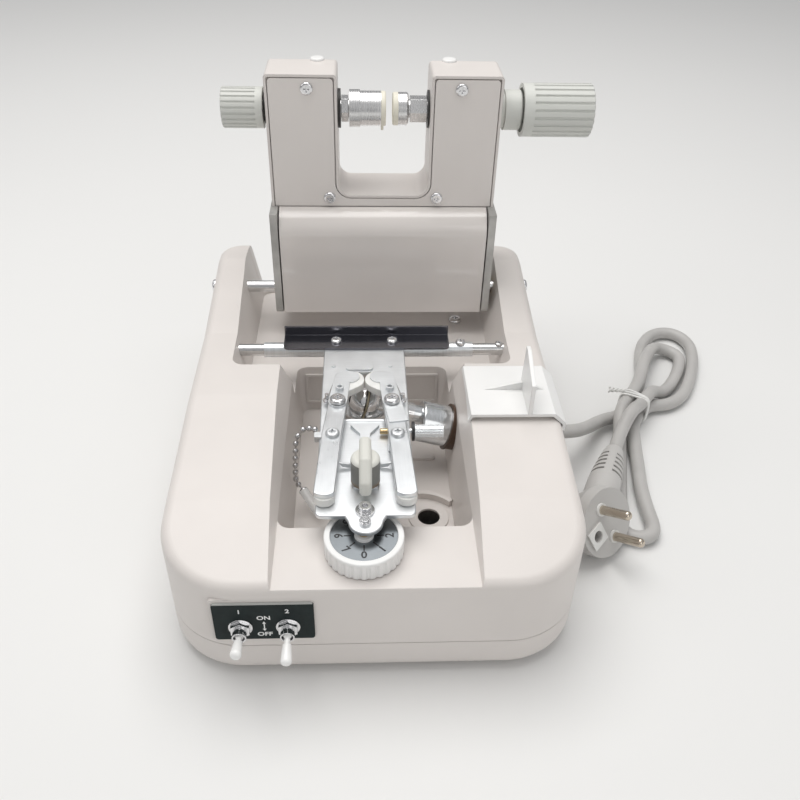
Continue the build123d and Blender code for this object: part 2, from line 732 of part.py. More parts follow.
# Mains switches
plate_front_y = FRONT_Y - SWITCH_PLATE_T
with BuildPart() as switch_plate:
    add(block((switch_left, plate_front_y, switch_low), (switch_right, FRONT_Y, switch_high), 1.5,
              Axis.Y))
    for x in SWITCH_X:
        add(bar((x, FRONT_Y - 5, SWITCH_Z), (x, FRONT_Y + 5, SWITCH_Z), BUSH_R + RUN),
            mode=Mode.SUBTRACT)
save(switch_plate.part, "switch_plate")

LEVER_PIVOT_Y = plate_front_y - 4.4
bodies = []
for x in SWITCH_X:
    with BuildPart() as switch_body:
        inner_y = FRONT_Y + 2 * CASE_WALL
        add(block((x - 6.5, inner_y, SWITCH_Z - 6.8), (x + 6.5, inner_y + 14, SWITCH_Z + 6.8), 1.0,
                  Axis.Y))
        add(bar((x, inner_y, SWITCH_Z), (x, plate_front_y - 6, SWITCH_Z), BUSH_R))
        add(bar((x, plate_front_y - 6.5, SWITCH_Z), (x, LEVER_PIVOT_Y + 2.6, SWITCH_Z),
                LEVER_ROOM_R),
            mode=Mode.SUBTRACT)
        with BuildSketch(Plane(origin=(x, plate_front_y - 0.6, SWITCH_Z), z_dir=(0, -1, 0))):
            RegularPolygon(4.6, 6)
            Circle(BUSH_R, mode=Mode.SUBTRACT)
        extrude(amount=2.0)
        add(bar((x, plate_front_y, SWITCH_Z), (x, plate_front_y - 0.6, SWITCH_Z), 5.2, BUSH_R))
        for lug in (-3.6, 0, 3.6):
            lug_low = (x - 1.1, inner_y + 14, SWITCH_Z + lug - 0.4)
            add(block(lug_low, (x + 1.1, inner_y + 20, SWITCH_Z + lug + 0.4)))
    bodies.append(switch_body.part)
save(group("switch_bodies", *bodies), "switch_bodies")


def lever(x, tilt):
    """A toggle lever: ball on its pivot pin, tapered stem and rounded white cap."""
    way = Vector(0, -cos(radians(tilt)), sin(radians(tilt)))
    pivot = Vector(x, LEVER_PIVOT_Y, SWITCH_Z)
    with BuildPart() as made:
        with Locations(pivot):
            Sphere(LEVER_BALL_R)
        half_pin = Vector(LEVER_PIN_L / 2, 0, 0)
        add(bar(pivot - half_pin, pivot + half_pin, LEVER_PIN_R))
        with BuildSketch(Plane(origin=pivot, z_dir=way)):
            Circle(1.1)
        with BuildSketch(Plane(origin=pivot + way * 6, z_dir=way)):
            Circle(1.5)
        loft()
        with BuildSketch(Plane(origin=pivot + way * 4.5, z_dir=way)):
            Circle(1.9)
        with BuildSketch(Plane(origin=pivot + way * LEVER_L, z_dir=way)):
            Circle(2.6)
        loft()
        tip = made.faces().sort_by(Axis(pivot, way))[-1]
        fillet(tip.edges(), radius=1.8)
    return made.part


save(lever(SWITCH_X[0], SWITCH_TILT), "lens_switch_lever")
save(lever(SWITCH_X[1], -SWITCH_TILT), "wheel_switch_lever")

# Power supply
with BuildPart() as power_supply:
    core_left = CASE_WALL + SUPPLY_GAP - HALF_W
    core_right = -WELL_HALF_W - CASE_WALL - SUPPLY_GAP
    foot_y = (SUPPLY_Y - SUPPLY_L / 2, SUPPLY_Y + SUPPLY_L / 2)
    add(block((core_left + 2, foot_y[0], FOOT_H + CASE_WALL), (core_right - 2, foot_y[1], 9.0)))
    add(block((core_left + 3, foot_y[0] + 4, 9.0), (core_right - 3, foot_y[1] - 4, SUPPLY_TOP_Z), 1.0))
    add(block((core_left, foot_y[0] + 15, 15.0), (core_right, foot_y[1] - 15, SUPPLY_TOP_Z - 6), 3.0))
save(power_supply.part, "power_supply")

# Hinge shaft
with BuildPart() as hinge_shaft:
    add(bar((-SHAFT_END + 0.1, SHAFT_Y, SHAFT_Z), (SHAFT_END - 0.1, SHAFT_Y, SHAFT_Z), SHAFT_R))
    for side in (-1, 1):
        end = (side * (SHAFT_END + 1), SHAFT_Y, SHAFT_Z)
        add(bar(end, (side * (SHAFT_END - 12), SHAFT_Y, SHAFT_Z), SCREW_R), mode=Mode.SUBTRACT)
save(hinge_shaft.part, "hinge_shaft")

# Grooving wheel, guard and motor
motor_end = MOTOR_FACE + MOTOR_L
with BuildPart() as wheel_motor:
    add(bar(on_motor(MOTOR_FACE, MOTOR_OFFSET), on_motor(motor_end, MOTOR_OFFSET), MOTOR_R))
    rim = wheel_motor.edges().filter_by(GeomType.CIRCLE)
    fillet(rim, radius=1.4)
    add(bar(on_motor(MOTOR_FACE - 6.5), on_motor(MOTOR_FACE + 1), BOSS_R))
    add(bar(on_motor(motor_end, MOTOR_OFFSET), on_motor(motor_end + 2.4, MOTOR_OFFSET), 4.0))
    add(bar(on_motor(-20), on_motor(MOTOR_FACE + 12), MOTOR_SHAFT_R + RUN), mode=Mode.SUBTRACT)
save(wheel_motor.part, "wheel_motor")

with BuildPart() as motor_grommet:
    add(bar(on_motor(GROMMET_U - 3.5, MOTOR_OFFSET), on_motor(GROMMET_U + 3.5, MOTOR_OFFSET),
            GROMMET_R))
    add(bar(on_motor(GROMMET_U - 3.5, MOTOR_OFFSET), on_motor(GROMMET_U - 2.6, MOTOR_OFFSET),
            GROMMET_R + GROMMET_LIP))
    add(bar(on_motor(MOTOR_FACE, MOTOR_OFFSET), on_motor(motor_end, MOTOR_OFFSET), MOTOR_R),
        mode=Mode.SUBTRACT)
save(motor_grommet.part, "motor_grommet")

with BuildPart() as wheel_spindle:
    add(bar(on_motor(-4.5), on_motor(MOTOR_FACE + 10), MOTOR_SHAFT_R))
    for side in (-1, 1):
        add(bar(on_motor(side * WHEEL_T / 2), on_motor(side * 3.0), HUB_R))
    add(bar(on_motor(-WHEEL_T / 2), on_motor(WHEEL_T / 2), HUB_R), mode=Mode.SUBTRACT)
    add(bar(on_motor(-WHEEL_T / 2), on_motor(WHEEL_T / 2), MOTOR_SHAFT_R))
save(wheel_spindle.part, "wheel_spindle")

save(bar(on_motor(-WHEEL_T / 2), on_motor(WHEEL_T / 2), WHEEL_R, MOTOR_SHAFT_R), "grinding_wheel")

def guard_ball(radius):
    """A ball round the wheel's centre, turned about the wheel axis."""
    with BuildPart() as made:
        with BuildSketch(Plane(origin=on_motor(0), x_dir=motor_way, z_dir=(0, -1, 0))):
            with BuildLine():
                ThreePointArc((radius, 0), (0, radius), (-radius, 0))
                Line((-radius, 0), (radius, 0))
            make_face()
        revolve(axis=Axis(on_motor(0), motor_way))
    return made.part


GUARD_FOOT = WHEEL_R + 1.4
with BuildPart() as wheel_guard:
    add(guard_ball(GUARD_R))
    ring_low = WHEEL_Z - GUARD_RING_DROP
    add(bar((WHEEL_X, WHEEL_Y, ring_low), (WHEEL_X, WHEEL_Y, ring_low + GUARD_RING_T), GUARD_RING_R))
    # The slot the wheel turns in
    add(bar(on_motor(-GUARD_SLOT / 2), on_motor(GUARD_SLOT / 2), WHEEL_R + 4), mode=Mode.SUBTRACT)
    for side in (-1, 1):
        near = on_motor(side * (GUARD_SLOT / 2 + 1), GUARD_R - 3.0)
        far = on_motor(side * (GUARD_SLOT / 2 + 1), GUARD_FOOT + 0.5)
        add(bar(near, far, 1.0))
    foot_high = on_motor(-4.5, GUARD_FOOT)
    foot_low = on_motor(-4.5, GUARD_FOOT + 1.0)
    add(bar(foot_high, foot_low, 8.5))
    # Neck that carries the guard on the motor boss
    add(bar(on_motor(GUARD_R - 1.5), on_motor(MOTOR_FACE - 4.5), BOSS_R + GUARD_T))
    add(guard_ball(GUARD_R - GUARD_T), mode=Mode.SUBTRACT)
    add(bar(on_motor(-GUARD_R - 2), on_motor(MOTOR_FACE - 6.5), HUB_R - 1.9), mode=Mode.SUBTRACT)
    add(bar(on_motor(MOTOR_FACE - 6.5), on_motor(MOTOR_FACE), BOSS_R), mode=Mode.SUBTRACT)
save(wheel_guard.part, "wheel_guard")

with BuildPart() as motor_cover:
    # Top sheet, the flap that follows the inner wall, and the turned-down outer edge
    slope_x = WELL_HALF_W + CHANNEL_SLOPE * (SHOULDER_Z - LEDGE_Z)
    flap_low = WELL_HALF_W + CHANNEL_SLOPE * 3
    with BuildSketch(Plane.XZ.offset(-COVER_REAR_Y)):
        with BuildLine():
            Polyline(
                (slope_x + 1, COVER_SEAT_Z),
                (HALF_W - 5, COVER_SEAT_Z),
                (HALF_W + 0.3, COVER_SEAT_Z - 5),
                (HALF_W + 0.3, COVER_SEAT_Z - 9),
                (HALF_W + 0.3 + LID_T, COVER_SEAT_Z - 9),
                (HALF_W + 0.3 + LID_T, COVER_SEAT_Z - 4),
                (HALF_W - 4, COVER_SEAT_Z + LID_T),
                (slope_x - 1, COVER_SEAT_Z + LID_T),
                (flap_low - 0.3 - LID_T, LEDGE_Z + 3),
                (flap_low - 0.3, LEDGE_Z + 3),
                (slope_x - 0.3, COVER_SEAT_Z - 0.3),
                close=True,
            )
        make_face()
    extrude(amount=COVER_REAR_Y - COVER_FRONT_Y)
    # Tall fin that the cover is lifted by, and a low fin across it
    top = COVER_SEAT_Z + LID_T - 0.5
    with BuildSketch(Plane.YZ.offset(FIN_X - FIN_T / 2)):
        with BuildLine():
            Polyline((COVER_FRONT_Y, top), (COVER_FRONT_Y, FIN_FRONT_Z), (FIN_APEX_Y[0], FIN_TOP_Z),
                     (FIN_APEX_Y[1], FIN_TOP_Z), (FIN_APEX_Y[1] + 2.0, top), close=True)
        make_face()
    extrude(amount=FIN_T)
    with BuildSketch(Plane.XZ.offset(-CROSS_FIN_Y - FIN_T / 2)):
        with BuildLine():
            Polyline((CROSS_FIN_X[0], top), (CROSS_FIN_X[0] + 8, top + 1.2),
                     (FIN_X - 0.5, CROSS_FIN_Z), (FIN_X + 0.5, CROSS_FIN_Z),
                     (CROSS_FIN_X[1] - 5, top + 1.2), (CROSS_FIN_X[1], top), close=True)
        make_face()
    extrude(amount=FIN_T)
    # Locating rim inside the opening of the shoulder
    rim_low = (MOTOR_WELL[0] + 0.3, MOTOR_WELL[2] + 0.3, SHOULDER_Z - 5)
    rim_high = (MOTOR_WELL[1] - 0.3, MOTOR_WELL[3] - 0.3, COVER_SEAT_Z + 0.5)
    add(block(rim_low, rim_high, 2.7))
    hole_low = (rim_low[0] + LID_T, rim_low[1] + LID_T, rim_low[2] - 1)
    hole_high = (rim_high[0] - LID_T, rim_high[1] - LID_T, rim_high[2])
    add(block(hole_low, hole_high, 1.0), mode=Mode.SUBTRACT)
    add(skin.part, mode=Mode.SUBTRACT)
save(motor_cover.part, "motor_cover")

# Lens head: shell, plates and cover
HEAD_BACK_Y = HEAD_FACE_Y + HEAD_T
BASE_LEFT = HEAD_LEFT + SIDE_T - 1.0
BASE_RIGHT = HEAD_RIGHT - SIDE_T + 1.0


def head_outline(inset, low_z, corner):
    """The U of the head seen from the front, drawn in by inset, down to a chosen height."""
    with BuildSketch() as made:
        with BuildLine():
            Polyline(
                (HEAD_LEFT + inset, low_z),
                (HEAD_LEFT + inset, HEAD_TOP_Z - inset),
                (NOTCH_LEFT - inset, HEAD_TOP_Z - inset),
                (NOTCH_LEFT - inset, NOTCH_Z - inset),
                (NOTCH_RIGHT + inset, NOTCH_Z - inset),
                (NOTCH_RIGHT + inset, HEAD_TOP_Z - inset),
                (HEAD_RIGHT - inset, HEAD_TOP_Z - inset),
                (HEAD_RIGHT - inset, low_z),
                close=True,
            )
        make_face()
        inner = made.vertices().filter_by(lambda v: abs(v.Y - NOTCH_Z + inset) < 0.1)
        fillet(inner, radius=NOTCH_R + inset)
        if corner:
            tops = made.vertices().filter_by(lambda v: abs(v.Y - HEAD_TOP_Z + inset) < 0.1)
            fillet(tops, radius=corner)
    return made.sketch


def base_outline(inset, high_z):
    """The lower part of the head between the two side plates."""
    with BuildSketch() as made:
        with Locations(((BASE_LEFT + BASE_RIGHT) / 2, (COVER_BOTTOM_Z + inset + high_z) / 2)):
            Rectangle(BASE_RIGHT - BASE_LEFT - 2 * inset, high_z - COVER_BOTTOM_Z - inset)
    return made.sketch


HEAD_PLANE = Plane.XZ.offset(-HEAD_FACE_Y)

with BuildPart() as head_shell:
    add(slab(head_outline(0, COVER_TOP_Z, 0), HEAD_PLANE, -HEAD_T))
    back_rim = head_shell.faces().sort_by(Axis.Y)[-1].edges()
    tops = back_rim.filter_by(Axis.X).filter_by(lambda e: e.center().Z > NOTCH_Z + 1)
    sides = back_rim.filter_by(Axis.Z).filter_by(lambda e: abs(e.center().X - HEAD_X) > NOTCH_W)
    fillet(tops + sides, radius=HEAD_BACK_R)
    head_corners = head_shell.edges().filter_by(Axis.Y).filter_by(lambda e: e.center().Z > HEAD_TOP_Z - 1)
    fillet(head_corners, radius=2.0)
    add(slab(base_outline(0, COVER_TOP_Z + 6), HEAD_PLANE, -HEAD_T))
    # Hollow
    room = HEAD_T - HEAD_WALL
    add(slab(head_outline(HEAD_WALL, COVER_TOP_Z - 1, 1.0), HEAD_PLANE, -room), mode=Mode.SUBTRACT)
    add(slab(base_outline(HEAD_WALL, COVER_TOP_Z + 2), HEAD_PLANE, -room), mode=Mode.SUBTRACT)
    # Seat for the front plate
    add(slab(head_outline(RIM_T, COVER_TOP_Z - 1, 1.0), HEAD_PLANE, -FRONT_PLATE_T), mode=Mode.SUBTRACT)
    # Shelf under the front plate
    shelf_low = (BASE_LEFT, HEAD_FACE_Y + FRONT_PLATE_T, COVER_TOP_Z - 1.5)
    add(block(shelf_low, (BASE_RIGHT, HEAD_FACE_Y + 6, COVER_TOP_Z + 1)))
    for x, z in PLATE_SCREWS:
        add(bar((x, HEAD_FACE_Y + FRONT_PLATE_T, z), (x, HEAD_BACK_Y - 1, z), SCREW_HEAD_R))
        add(bar((x, HEAD_FACE_Y, z), (x, HEAD_FACE_Y + 16, z), SCREW_R + RUN), mode=Mode.SUBTRACT)
    # Bearing webs for the drive shaft
    for x in DRIVE_WEBS:
        add(block((x - 1.5, CHUCK_Y - 7, DRIVE_Z - 7), (x + 1.5, HEAD_BACK_Y - 1, DRIVE_Z + 7)))
        add(bar((x - 3, CHUCK_Y, DRIVE_Z), (x + 3, CHUCK_Y, DRIVE_Z), DRIVE_R + RUN),
            mode=Mode.SUBTRACT)
    # Holes for the spindles, the hinge bushes and the plugs
    for wall in (HEAD_LEFT, NOTCH_LEFT, NOTCH_RIGHT):
        add(bar((wall - 6, CHUCK_Y, CHUCK_Z), (wall + 6, CHUCK_Y, CHUCK_Z), BEARING_R + RUN),
            mode=Mode.SUBTRACT)
    neck_low = (HEAD_RIGHT - 6, CHUCK_Y, CHUCK_Z)
    add(bar(neck_low, (HEAD_RIGHT + 6, CHUCK_Y, CHUCK_Z), COLLAR_NECK_R + RUN), mode=Mode.SUBTRACT)
    hinge_low = (HEAD_LEFT - 5, SHAFT_Y, SHAFT_Z)
    add(bar(hinge_low, (HEAD_RIGHT + 5, SHAFT_Y, SHAFT_Z), HINGE_BUSH_R + RUN), mode=Mode.SUBTRACT)
    for x, y in HEAD_PLUGS:
        add(bar((x, y, HEAD_TOP_Z + 5), (x, y, HEAD_TOP_Z - 6), PLUG_STEM_R + RUN), mode=Mode.SUBTRACT)
    # Grooves that take the two side plates
    for side, x in ((-1, BASE_LEFT), (1, BASE_RIGHT)):
        add(block((min(x, x + side * 20), HEAD_FACE_Y - 1, 0),
                  (max(x, x + side * 20), HEAD_BACK_Y + 9, COVER_TOP_Z)),
            mode=Mode.SUBTRACT)
save(head_shell.part, "head_shell")

with BuildPart() as head_front_plate:
    plate_outline = head_outline(RIM_T + FRONT_PLATE_GAP, COVER_TOP_Z + 0.4, 2.0)
    add(slab(plate_outline, HEAD_PLANE, -FRONT_PLATE_T))
    for x, z in PLATE_SCREWS:
        add(bar((x, HEAD_FACE_Y - 1, z), (x, HEAD_FACE_Y + 5, z), SCREW_R + 0.2), mode=Mode.SUBTRACT)
save(head_front_plate.part, "head_front_plate")

plate_screws = []
for x, z in PLATE_SCREWS:
    plate_screws.append(screw((x, HEAD_FACE_Y, z), (0, -1, 0), SCREW_HEAD_R - 0.1, 1.8, SCREW_R, 12))
save(group("head_plate_screws", *plate_screws), "head_plate_screws")

flat_top_z = COVER_TOP_Z - 15


def cover_side(inset):
    """The side view of the curved cover: flat face, rounded shoulder and a floor."""
    top_r = HEAD_FACE_Y - COVER_FACE_Y
    with BuildSketch() as made:
        with BuildLine():
            Line((COVER_FACE_Y + inset, COVER_BOTTOM_Z + inset), (COVER_FACE_Y + inset, flat_top_z))
            ThreePointArc(
                (COVER_FACE_Y + inset, flat_top_z),
                (COVER_FACE_Y + 0.3 * top_r + 0.72 * inset, flat_top_z + 10.5 - 0.7 * inset),
                (HEAD_FACE_Y + 0.6 * inset, COVER_TOP_Z - inset),
            )
            Line((HEAD_FACE_Y + 0.6 * inset, COVER_TOP_Z - inset),
                 (HEAD_FACE_Y + 2, COVER_TOP_Z - inset))
            Line((HEAD_FACE_Y + 2, COVER_TOP_Z - inset), (HEAD_FACE_Y + 2, COVER_BOTTOM_Z + inset))
            Line((HEAD_FACE_Y + 2, COVER_BOTTOM_Z + inset),
                 (COVER_FACE_Y + inset, COVER_BOTTOM_Z + inset))
        make_face()
    return made.sketch


cover_w = BASE_RIGHT - BASE_LEFT - 2 * SIDE_GAP
cover_plane = Plane.YZ.offset(BASE_LEFT + SIDE_GAP)
with BuildPart() as head_cover:
    add(slab(cover_side(0), cover_plane, cover_w))
    add(slab(cover_side(COVER_T), cover_plane, cover_w), mode=Mode.SUBTRACT)
    # Keep clear of the shell and the front plate behind
    add(block((HEAD_LEFT, HEAD_FACE_Y, COVER_BOTTOM_Z - 1),
              (HEAD_RIGHT, HEAD_FACE_Y + 5, COVER_TOP_Z + 1)),
        mode=Mode.SUBTRACT)
save(head_cover.part, "head_cover")

with BuildPart() as side_plates:
    for side, x in ((-1, BASE_LEFT), (1, BASE_RIGHT)):
        low = (min(x, x + side * SIDE_T), COVER_FACE_Y + 0.5, COVER_BOTTOM_Z - 2)
        high = (max(x, x + side * SIDE_T), HEAD_BACK_Y, COVER_TOP_Z)
        add(block(low, high))
        add(bar((x - 6, SHAFT_Y, SHAFT_Z), (x + 6, SHAFT_Y, SHAFT_Z), HINGE_BUSH_R + RUN),
            mode=Mode.SUBTRACT)
    corners = side_plates.edges().filter_by(Axis.X)
    fillet(corners.filter_by(lambda e: e.center().Z < COVER_BOTTOM_Z), radius=5.0)
save(side_plates.part, "side_plates")

bushes = []
for side, x in ((-1, BASE_LEFT - SIDE_T), (1, BASE_RIGHT + SIDE_T)):
    bushes.append(bar((x + side * 1.2, SHAFT_Y, SHAFT_Z), (x, SHAFT_Y, SHAFT_Z), 2 * SHAFT_R,
                      SHAFT_R + RUN))
    bushes.append(bar((x, SHAFT_Y, SHAFT_Z), (x - side * 12, SHAFT_Y, SHAFT_Z), HINGE_BUSH_R,
                      SHAFT_R + RUN))
save(group("head_bushes", *bushes), "head_bushes")

plugs = []
for x, y in HEAD_PLUGS:
    with BuildPart() as plug_top:
        add(bar((x, y, HEAD_TOP_Z), (x, y, HEAD_TOP_Z + 1.4), PLUG_STEM_R + 1.4))
        fillet(plug_top.faces().sort_by(Axis.Z)[-1].edges(), radius=1.2)
        add(bar((x, y, HEAD_TOP_Z), (x, y, HEAD_TOP_Z - 4), PLUG_STEM_R))
    plugs.append(plug_top.part)
save(group("head_plugs", *plugs), "head_plugs")

# Lens drive inside the head
with BuildPart() as lens_motor:
    add(bar((-14, CHUCK_Y, DRIVE_Z), (26, CHUCK_Y, DRIVE_Z), 14.0))
    rim = lens_motor.edges().filter_by(GeomType.CIRCLE)
    fillet(rim, radius=1.5)
    add(block((-10, CHUCK_Y, DRIVE_Z - 12), (22, HEAD_BACK_Y - HEAD_WALL, DRIVE_Z + 12), 2.0))
    add(bar((-18, CHUCK_Y, DRIVE_Z), (30, CHUCK_Y, DRIVE_Z), 7.0))
    add(bar((-30, CHUCK_Y, DRIVE_Z), (40, CHUCK_Y, DRIVE_Z), DRIVE_R + RUN), mode=Mode.SUBTRACT)
save(lens_motor.part, "lens_motor")


def pulley(x, radius, low_z, width):
    """A flanged belt pulley on a shaft that runs along X."""
    with BuildPart() as made:
        add(bar((x - width / 2, CHUCK_Y, low_z), (x + width / 2, CHUCK_Y, low_z), radius))
        for side in (-1, 1):
            inner = (x + side * width / 2, CHUCK_Y, low_z)
            add(bar(inner, (x + side * (width / 2 + 0.8), CHUCK_Y, low_z), radius + 2.0))
    return made.part


with BuildPart() as drive_shaft:
    add(bar((DRIVE_WEBS[0] - 3, CHUCK_Y, DRIVE_Z), (DRIVE_WEBS[1] + 3, CHUCK_Y, DRIVE_Z), DRIVE_R))
    for x in BELT_X:
        add(pulley(x, DRIVE_PULLEY_R, DRIVE_Z, BELT_W + 1))
save(drive_shaft.part, "drive_shaft")


def belt(x):
    """A flat belt round the drive pulley and the spindle pulley."""
    rise = CHUCK_Z - DRIVE_Z
    gap = BODY_GAP
    with BuildPart() as made:
        with BuildSketch(Plane.YZ.offset(x - BELT_W / 2)):
            with Locations((CHUCK_Y, DRIVE_Z)):
                Circle(DRIVE_PULLEY_R + gap + BELT_T)
            with Locations((CHUCK_Y, CHUCK_Z)):
                Circle(PULLEY_R + gap + BELT_T)
            make_hull()
        extrude(amount=BELT_W)
        with BuildSketch(Plane.YZ.offset(x - BELT_W / 2)):
            with Locations((CHUCK_Y, DRIVE_Z)):
                Circle(DRIVE_PULLEY_R + gap)
            with Locations((CHUCK_Y, CHUCK_Z)):
                Circle(PULLEY_R + gap)
            make_hull()
        extrude(amount=BELT_W, mode=Mode.SUBTRACT)
    return made.part


save(group("drive_belts", belt(BELT_X[0]), belt(BELT_X[1])), "drive_belts")

bearings = []
for wall, flange_t, flange_r in ((HEAD_LEFT, -2.0, 8.0), (NOTCH_LEFT, 1.6, 10.4),
                                 (NOTCH_RIGHT, -1.0, 10.0)):
    inside = wall - (3.6 if flange_t > 0 else -3.6)
    bearings.append(bar((wall, CHUCK_Y, CHUCK_Z), (inside, CHUCK_Y, CHUCK_Z), BEARING_R,
                        SPINDLE_R + RUN))
    flange = (wall + flange_t, CHUCK_Y, CHUCK_Z)
    bearings.append(bar((wall, CHUCK_Y, CHUCK_Z), flange, flange_r, SPINDLE_R + RUN))
save(group("spindle_bearings", *bearings), "spindle_bearings")

# Left spindle, knob, chuck and pad
left_knob_x = HEAD_LEFT - 2.4
with BuildPart() as left_knob:
    start = Plane(origin=(left_knob_x - 4, CHUCK_Y, CHUCK_Z), x_dir=(0, 1, 0), z_dir=(-1, 0, 0))
    add(fluted(start, LEFT_KNOB_R, LEFT_KNOB_L - 4, FLUTES, 0.8 * FLUTE_R, 0.8 * FLUTE_R))
    add(bar((left_knob_x, CHUCK_Y, CHUCK_Z), (left_knob_x - 4, CHUCK_Y, CHUCK_Z), LEFT_KNOB_R))
    far_end = left_knob.faces().sort_by(Axis.X)[0]
    chamfer(far_end.edges(), length=0.45 * FLUTE_R)
    add(bar((left_knob_x + 1, CHUCK_Y, CHUCK_Z), (left_knob_x - 19, CHUCK_Y, CHUCK_Z), SPINDLE_R),
        mode=Mode.SUBTRACT)
save(left_knob.part, "left_knob")

with BuildPart() as left_spindle:
    add(bar((left_knob_x - 19, CHUCK_Y, CHUCK_Z), (LEFT_HEX_X, CHUCK_Y, CHUCK_Z), SPINDLE_R))
    add(pulley(BELT_X[0], PULLEY_R, CHUCK_Z, BELT_W + 1))
save(left_spindle.part, "left_spindle")


def chuck_axis(x, way=1):
    return Plane(origin=(x, CHUCK_Y, CHUCK_Z), x_dir=(0, 1, 0), z_dir=(way, 0, 0))


with BuildPart() as left_chuck:
    with BuildSketch(chuck_axis(LEFT_HEX_X)):
        RegularPolygon(HEX_R, 6)
    extrude(amount=3.8)
    add(bar((LEFT_HEX_X + 3.6, CHUCK_Y, CHUCK_Z), (LEFT_FLANGE_X, CHUCK_Y, CHUCK_Z), SPINDLE_R))
    add(bar((LEFT_FLANGE_X, CHUCK_Y, CHUCK_Z), (LEFT_FLANGE_X + 5.9, CHUCK_Y, CHUCK_Z), LEFT_FLANGE_R))
    add(bar((LEFT_FLANGE_X + 5, CHUCK_Y, CHUCK_Z), (LEFT_PAD_X, CHUCK_Y, CHUCK_Z), LEFT_CUP_R))
save(left_chuck.part, "left_chuck")

with BuildPart() as left_pad:
    add(bar((LEFT_PAD_X, CHUCK_Y, CHUCK_Z), (LEFT_PAD_X + PAD_T, CHUCK_Y, CHUCK_Z), LEFT_CUP_R))
    fillet(left_pad.faces().sort_by(Axis.X)[-1].edges(), radius=0.8)
    tab = (LEFT_PAD_X, CHUCK_Y - 1.5, CHUCK_Z - LEFT_CUP_R - 2.4)
    add(block(tab, (LEFT_PAD_X + 1.4, CHUCK_Y + 1.5, CHUCK_Z - LEFT_CUP_R + 1), 0.5, Axis.X))
save(left_pad.part, "left_pad")

# Right spindle, chuck, pad, quill, collar and clamp knob
right_pad_x = LEFT_PAD_X + PAD_T + LENS_GAP
with BuildPart() as right_pad:
    add(bar((right_pad_x, CHUCK_Y, CHUCK_Z), (right_pad_x + 3, CHUCK_Y, CHUCK_Z), RIGHT_CUP_R))
    fillet(right_pad.faces().sort_by(Axis.X)[0].edges(), radius=0.8)
save(right_pad.part, "right_pad")

RIGHT_HEX_X = right_pad_x + 9.6
with BuildPart() as right_chuck:
    add(bar((right_pad_x + 3, CHUCK_Y, CHUCK_Z), (RIGHT_HEX_X - 1, CHUCK_Y, CHUCK_Z), RIGHT_CUP_R))
    chamfer(right_chuck.faces().sort_by(Axis.X)[-1].edges(), length=0.8)
    add(bar((RIGHT_HEX_X - 1.5, CHUCK_Y, CHUCK_Z), (RIGHT_HEX_X, CHUCK_Y, CHUCK_Z), SPINDLE_R))
    with BuildSketch(chuck_axis(RIGHT_HEX_X)):
        RegularPolygon(HEX_R, 6)
    extrude(amount=9.3)
save(right_chuck.part, "right_chuck")

with BuildPart() as right_spindle:
    add(bar((RIGHT_HEX_X + 9.3, CHUCK_Y, CHUCK_Z), (QUILL_END - 2, CHUCK_Y, CHUCK_Z), SPINDLE_R))
    add(pulley(BELT_X[1] + 1.8, PULLEY_R, CHUCK_Z, BELT_W + 5))
save(right_spindle.part, "right_spindle")

quill_start = BELT_X[1] + 9
with BuildPart() as clamp_quill:
    add(bar((quill_start, CHUCK_Y, CHUCK_Z), (QUILL_END, CHUCK_Y, CHUCK_Z), QUILL_R, SPINDLE_R + RUN))
save(clamp_quill.part, "clamp_quill")

collar_x = HEAD_RIGHT + 3.2
with BuildPart() as clamp_collar:
    add(bar((HEAD_RIGHT - HEAD_WALL, CHUCK_Y, CHUCK_Z), (collar_x, CHUCK_Y, CHUCK_Z), COLLAR_NECK_R))
    add(bar((collar_x, CHUCK_Y, CHUCK_Z), (RIGHT_KNOB_X - 0.3, CHUCK_Y, CHUCK_Z), COLLAR_R))
    rim = clamp_collar.faces().sort_by(Axis.X)[-1]
    chamfer(rim.edges(), length=0.8)
    add(bar((HEAD_RIGHT - 5, CHUCK_Y, CHUCK_Z), (RIGHT_KNOB_X + 1, CHUCK_Y, CHUCK_Z), QUILL_R + RUN),
        mode=Mode.SUBTRACT)
save(clamp_collar.part, "clamp_collar")

with BuildPart() as right_knob:
    add(fluted(chuck_axis(RIGHT_KNOB_X + 5.8), RIGHT_KNOB_R, RIGHT_KNOB_L - 5.8, FLUTES, FLUTE_R,
               FLUTE_R))
    add(bar((RIGHT_KNOB_X, CHUCK_Y, CHUCK_Z), (RIGHT_KNOB_X + 5.8, CHUCK_Y, CHUCK_Z), RIGHT_KNOB_R))
    far_end = right_knob.faces().sort_by(Axis.X)[-1]
    chamfer(far_end.edges(), length=0.6 * FLUTE_R)
    add(bar((RIGHT_KNOB_X - 1, CHUCK_Y, CHUCK_Z), (RIGHT_KNOB_X + 8, CHUCK_Y, CHUCK_Z), COLLAR_R + 1.2),
        mode=Mode.SUBTRACT)
    add(bar((RIGHT_KNOB_X, CHUCK_Y, CHUCK_Z), (QUILL_END + 0.5, CHUCK_Y, CHUCK_Z), QUILL_R + RUN),
        mode=Mode.SUBTRACT)
save(right_knob.part, "right_knob")

# Guide rod, sleeve, plate and bracket
with BuildPart() as guide_rod:
    add(bar((-ROD_END + 0.3, ROD_Y, ROD_Z), (ROD_END - 0.3, ROD_Y, ROD_Z), ROD_R))
    add(screw((72, ROD_Y, ROD_Z + ROD_R - 0.3), (0, 0, 1), 2.2, 1.5, 1.0, 1.0))
save(guide_rod.part, "guide_rod")

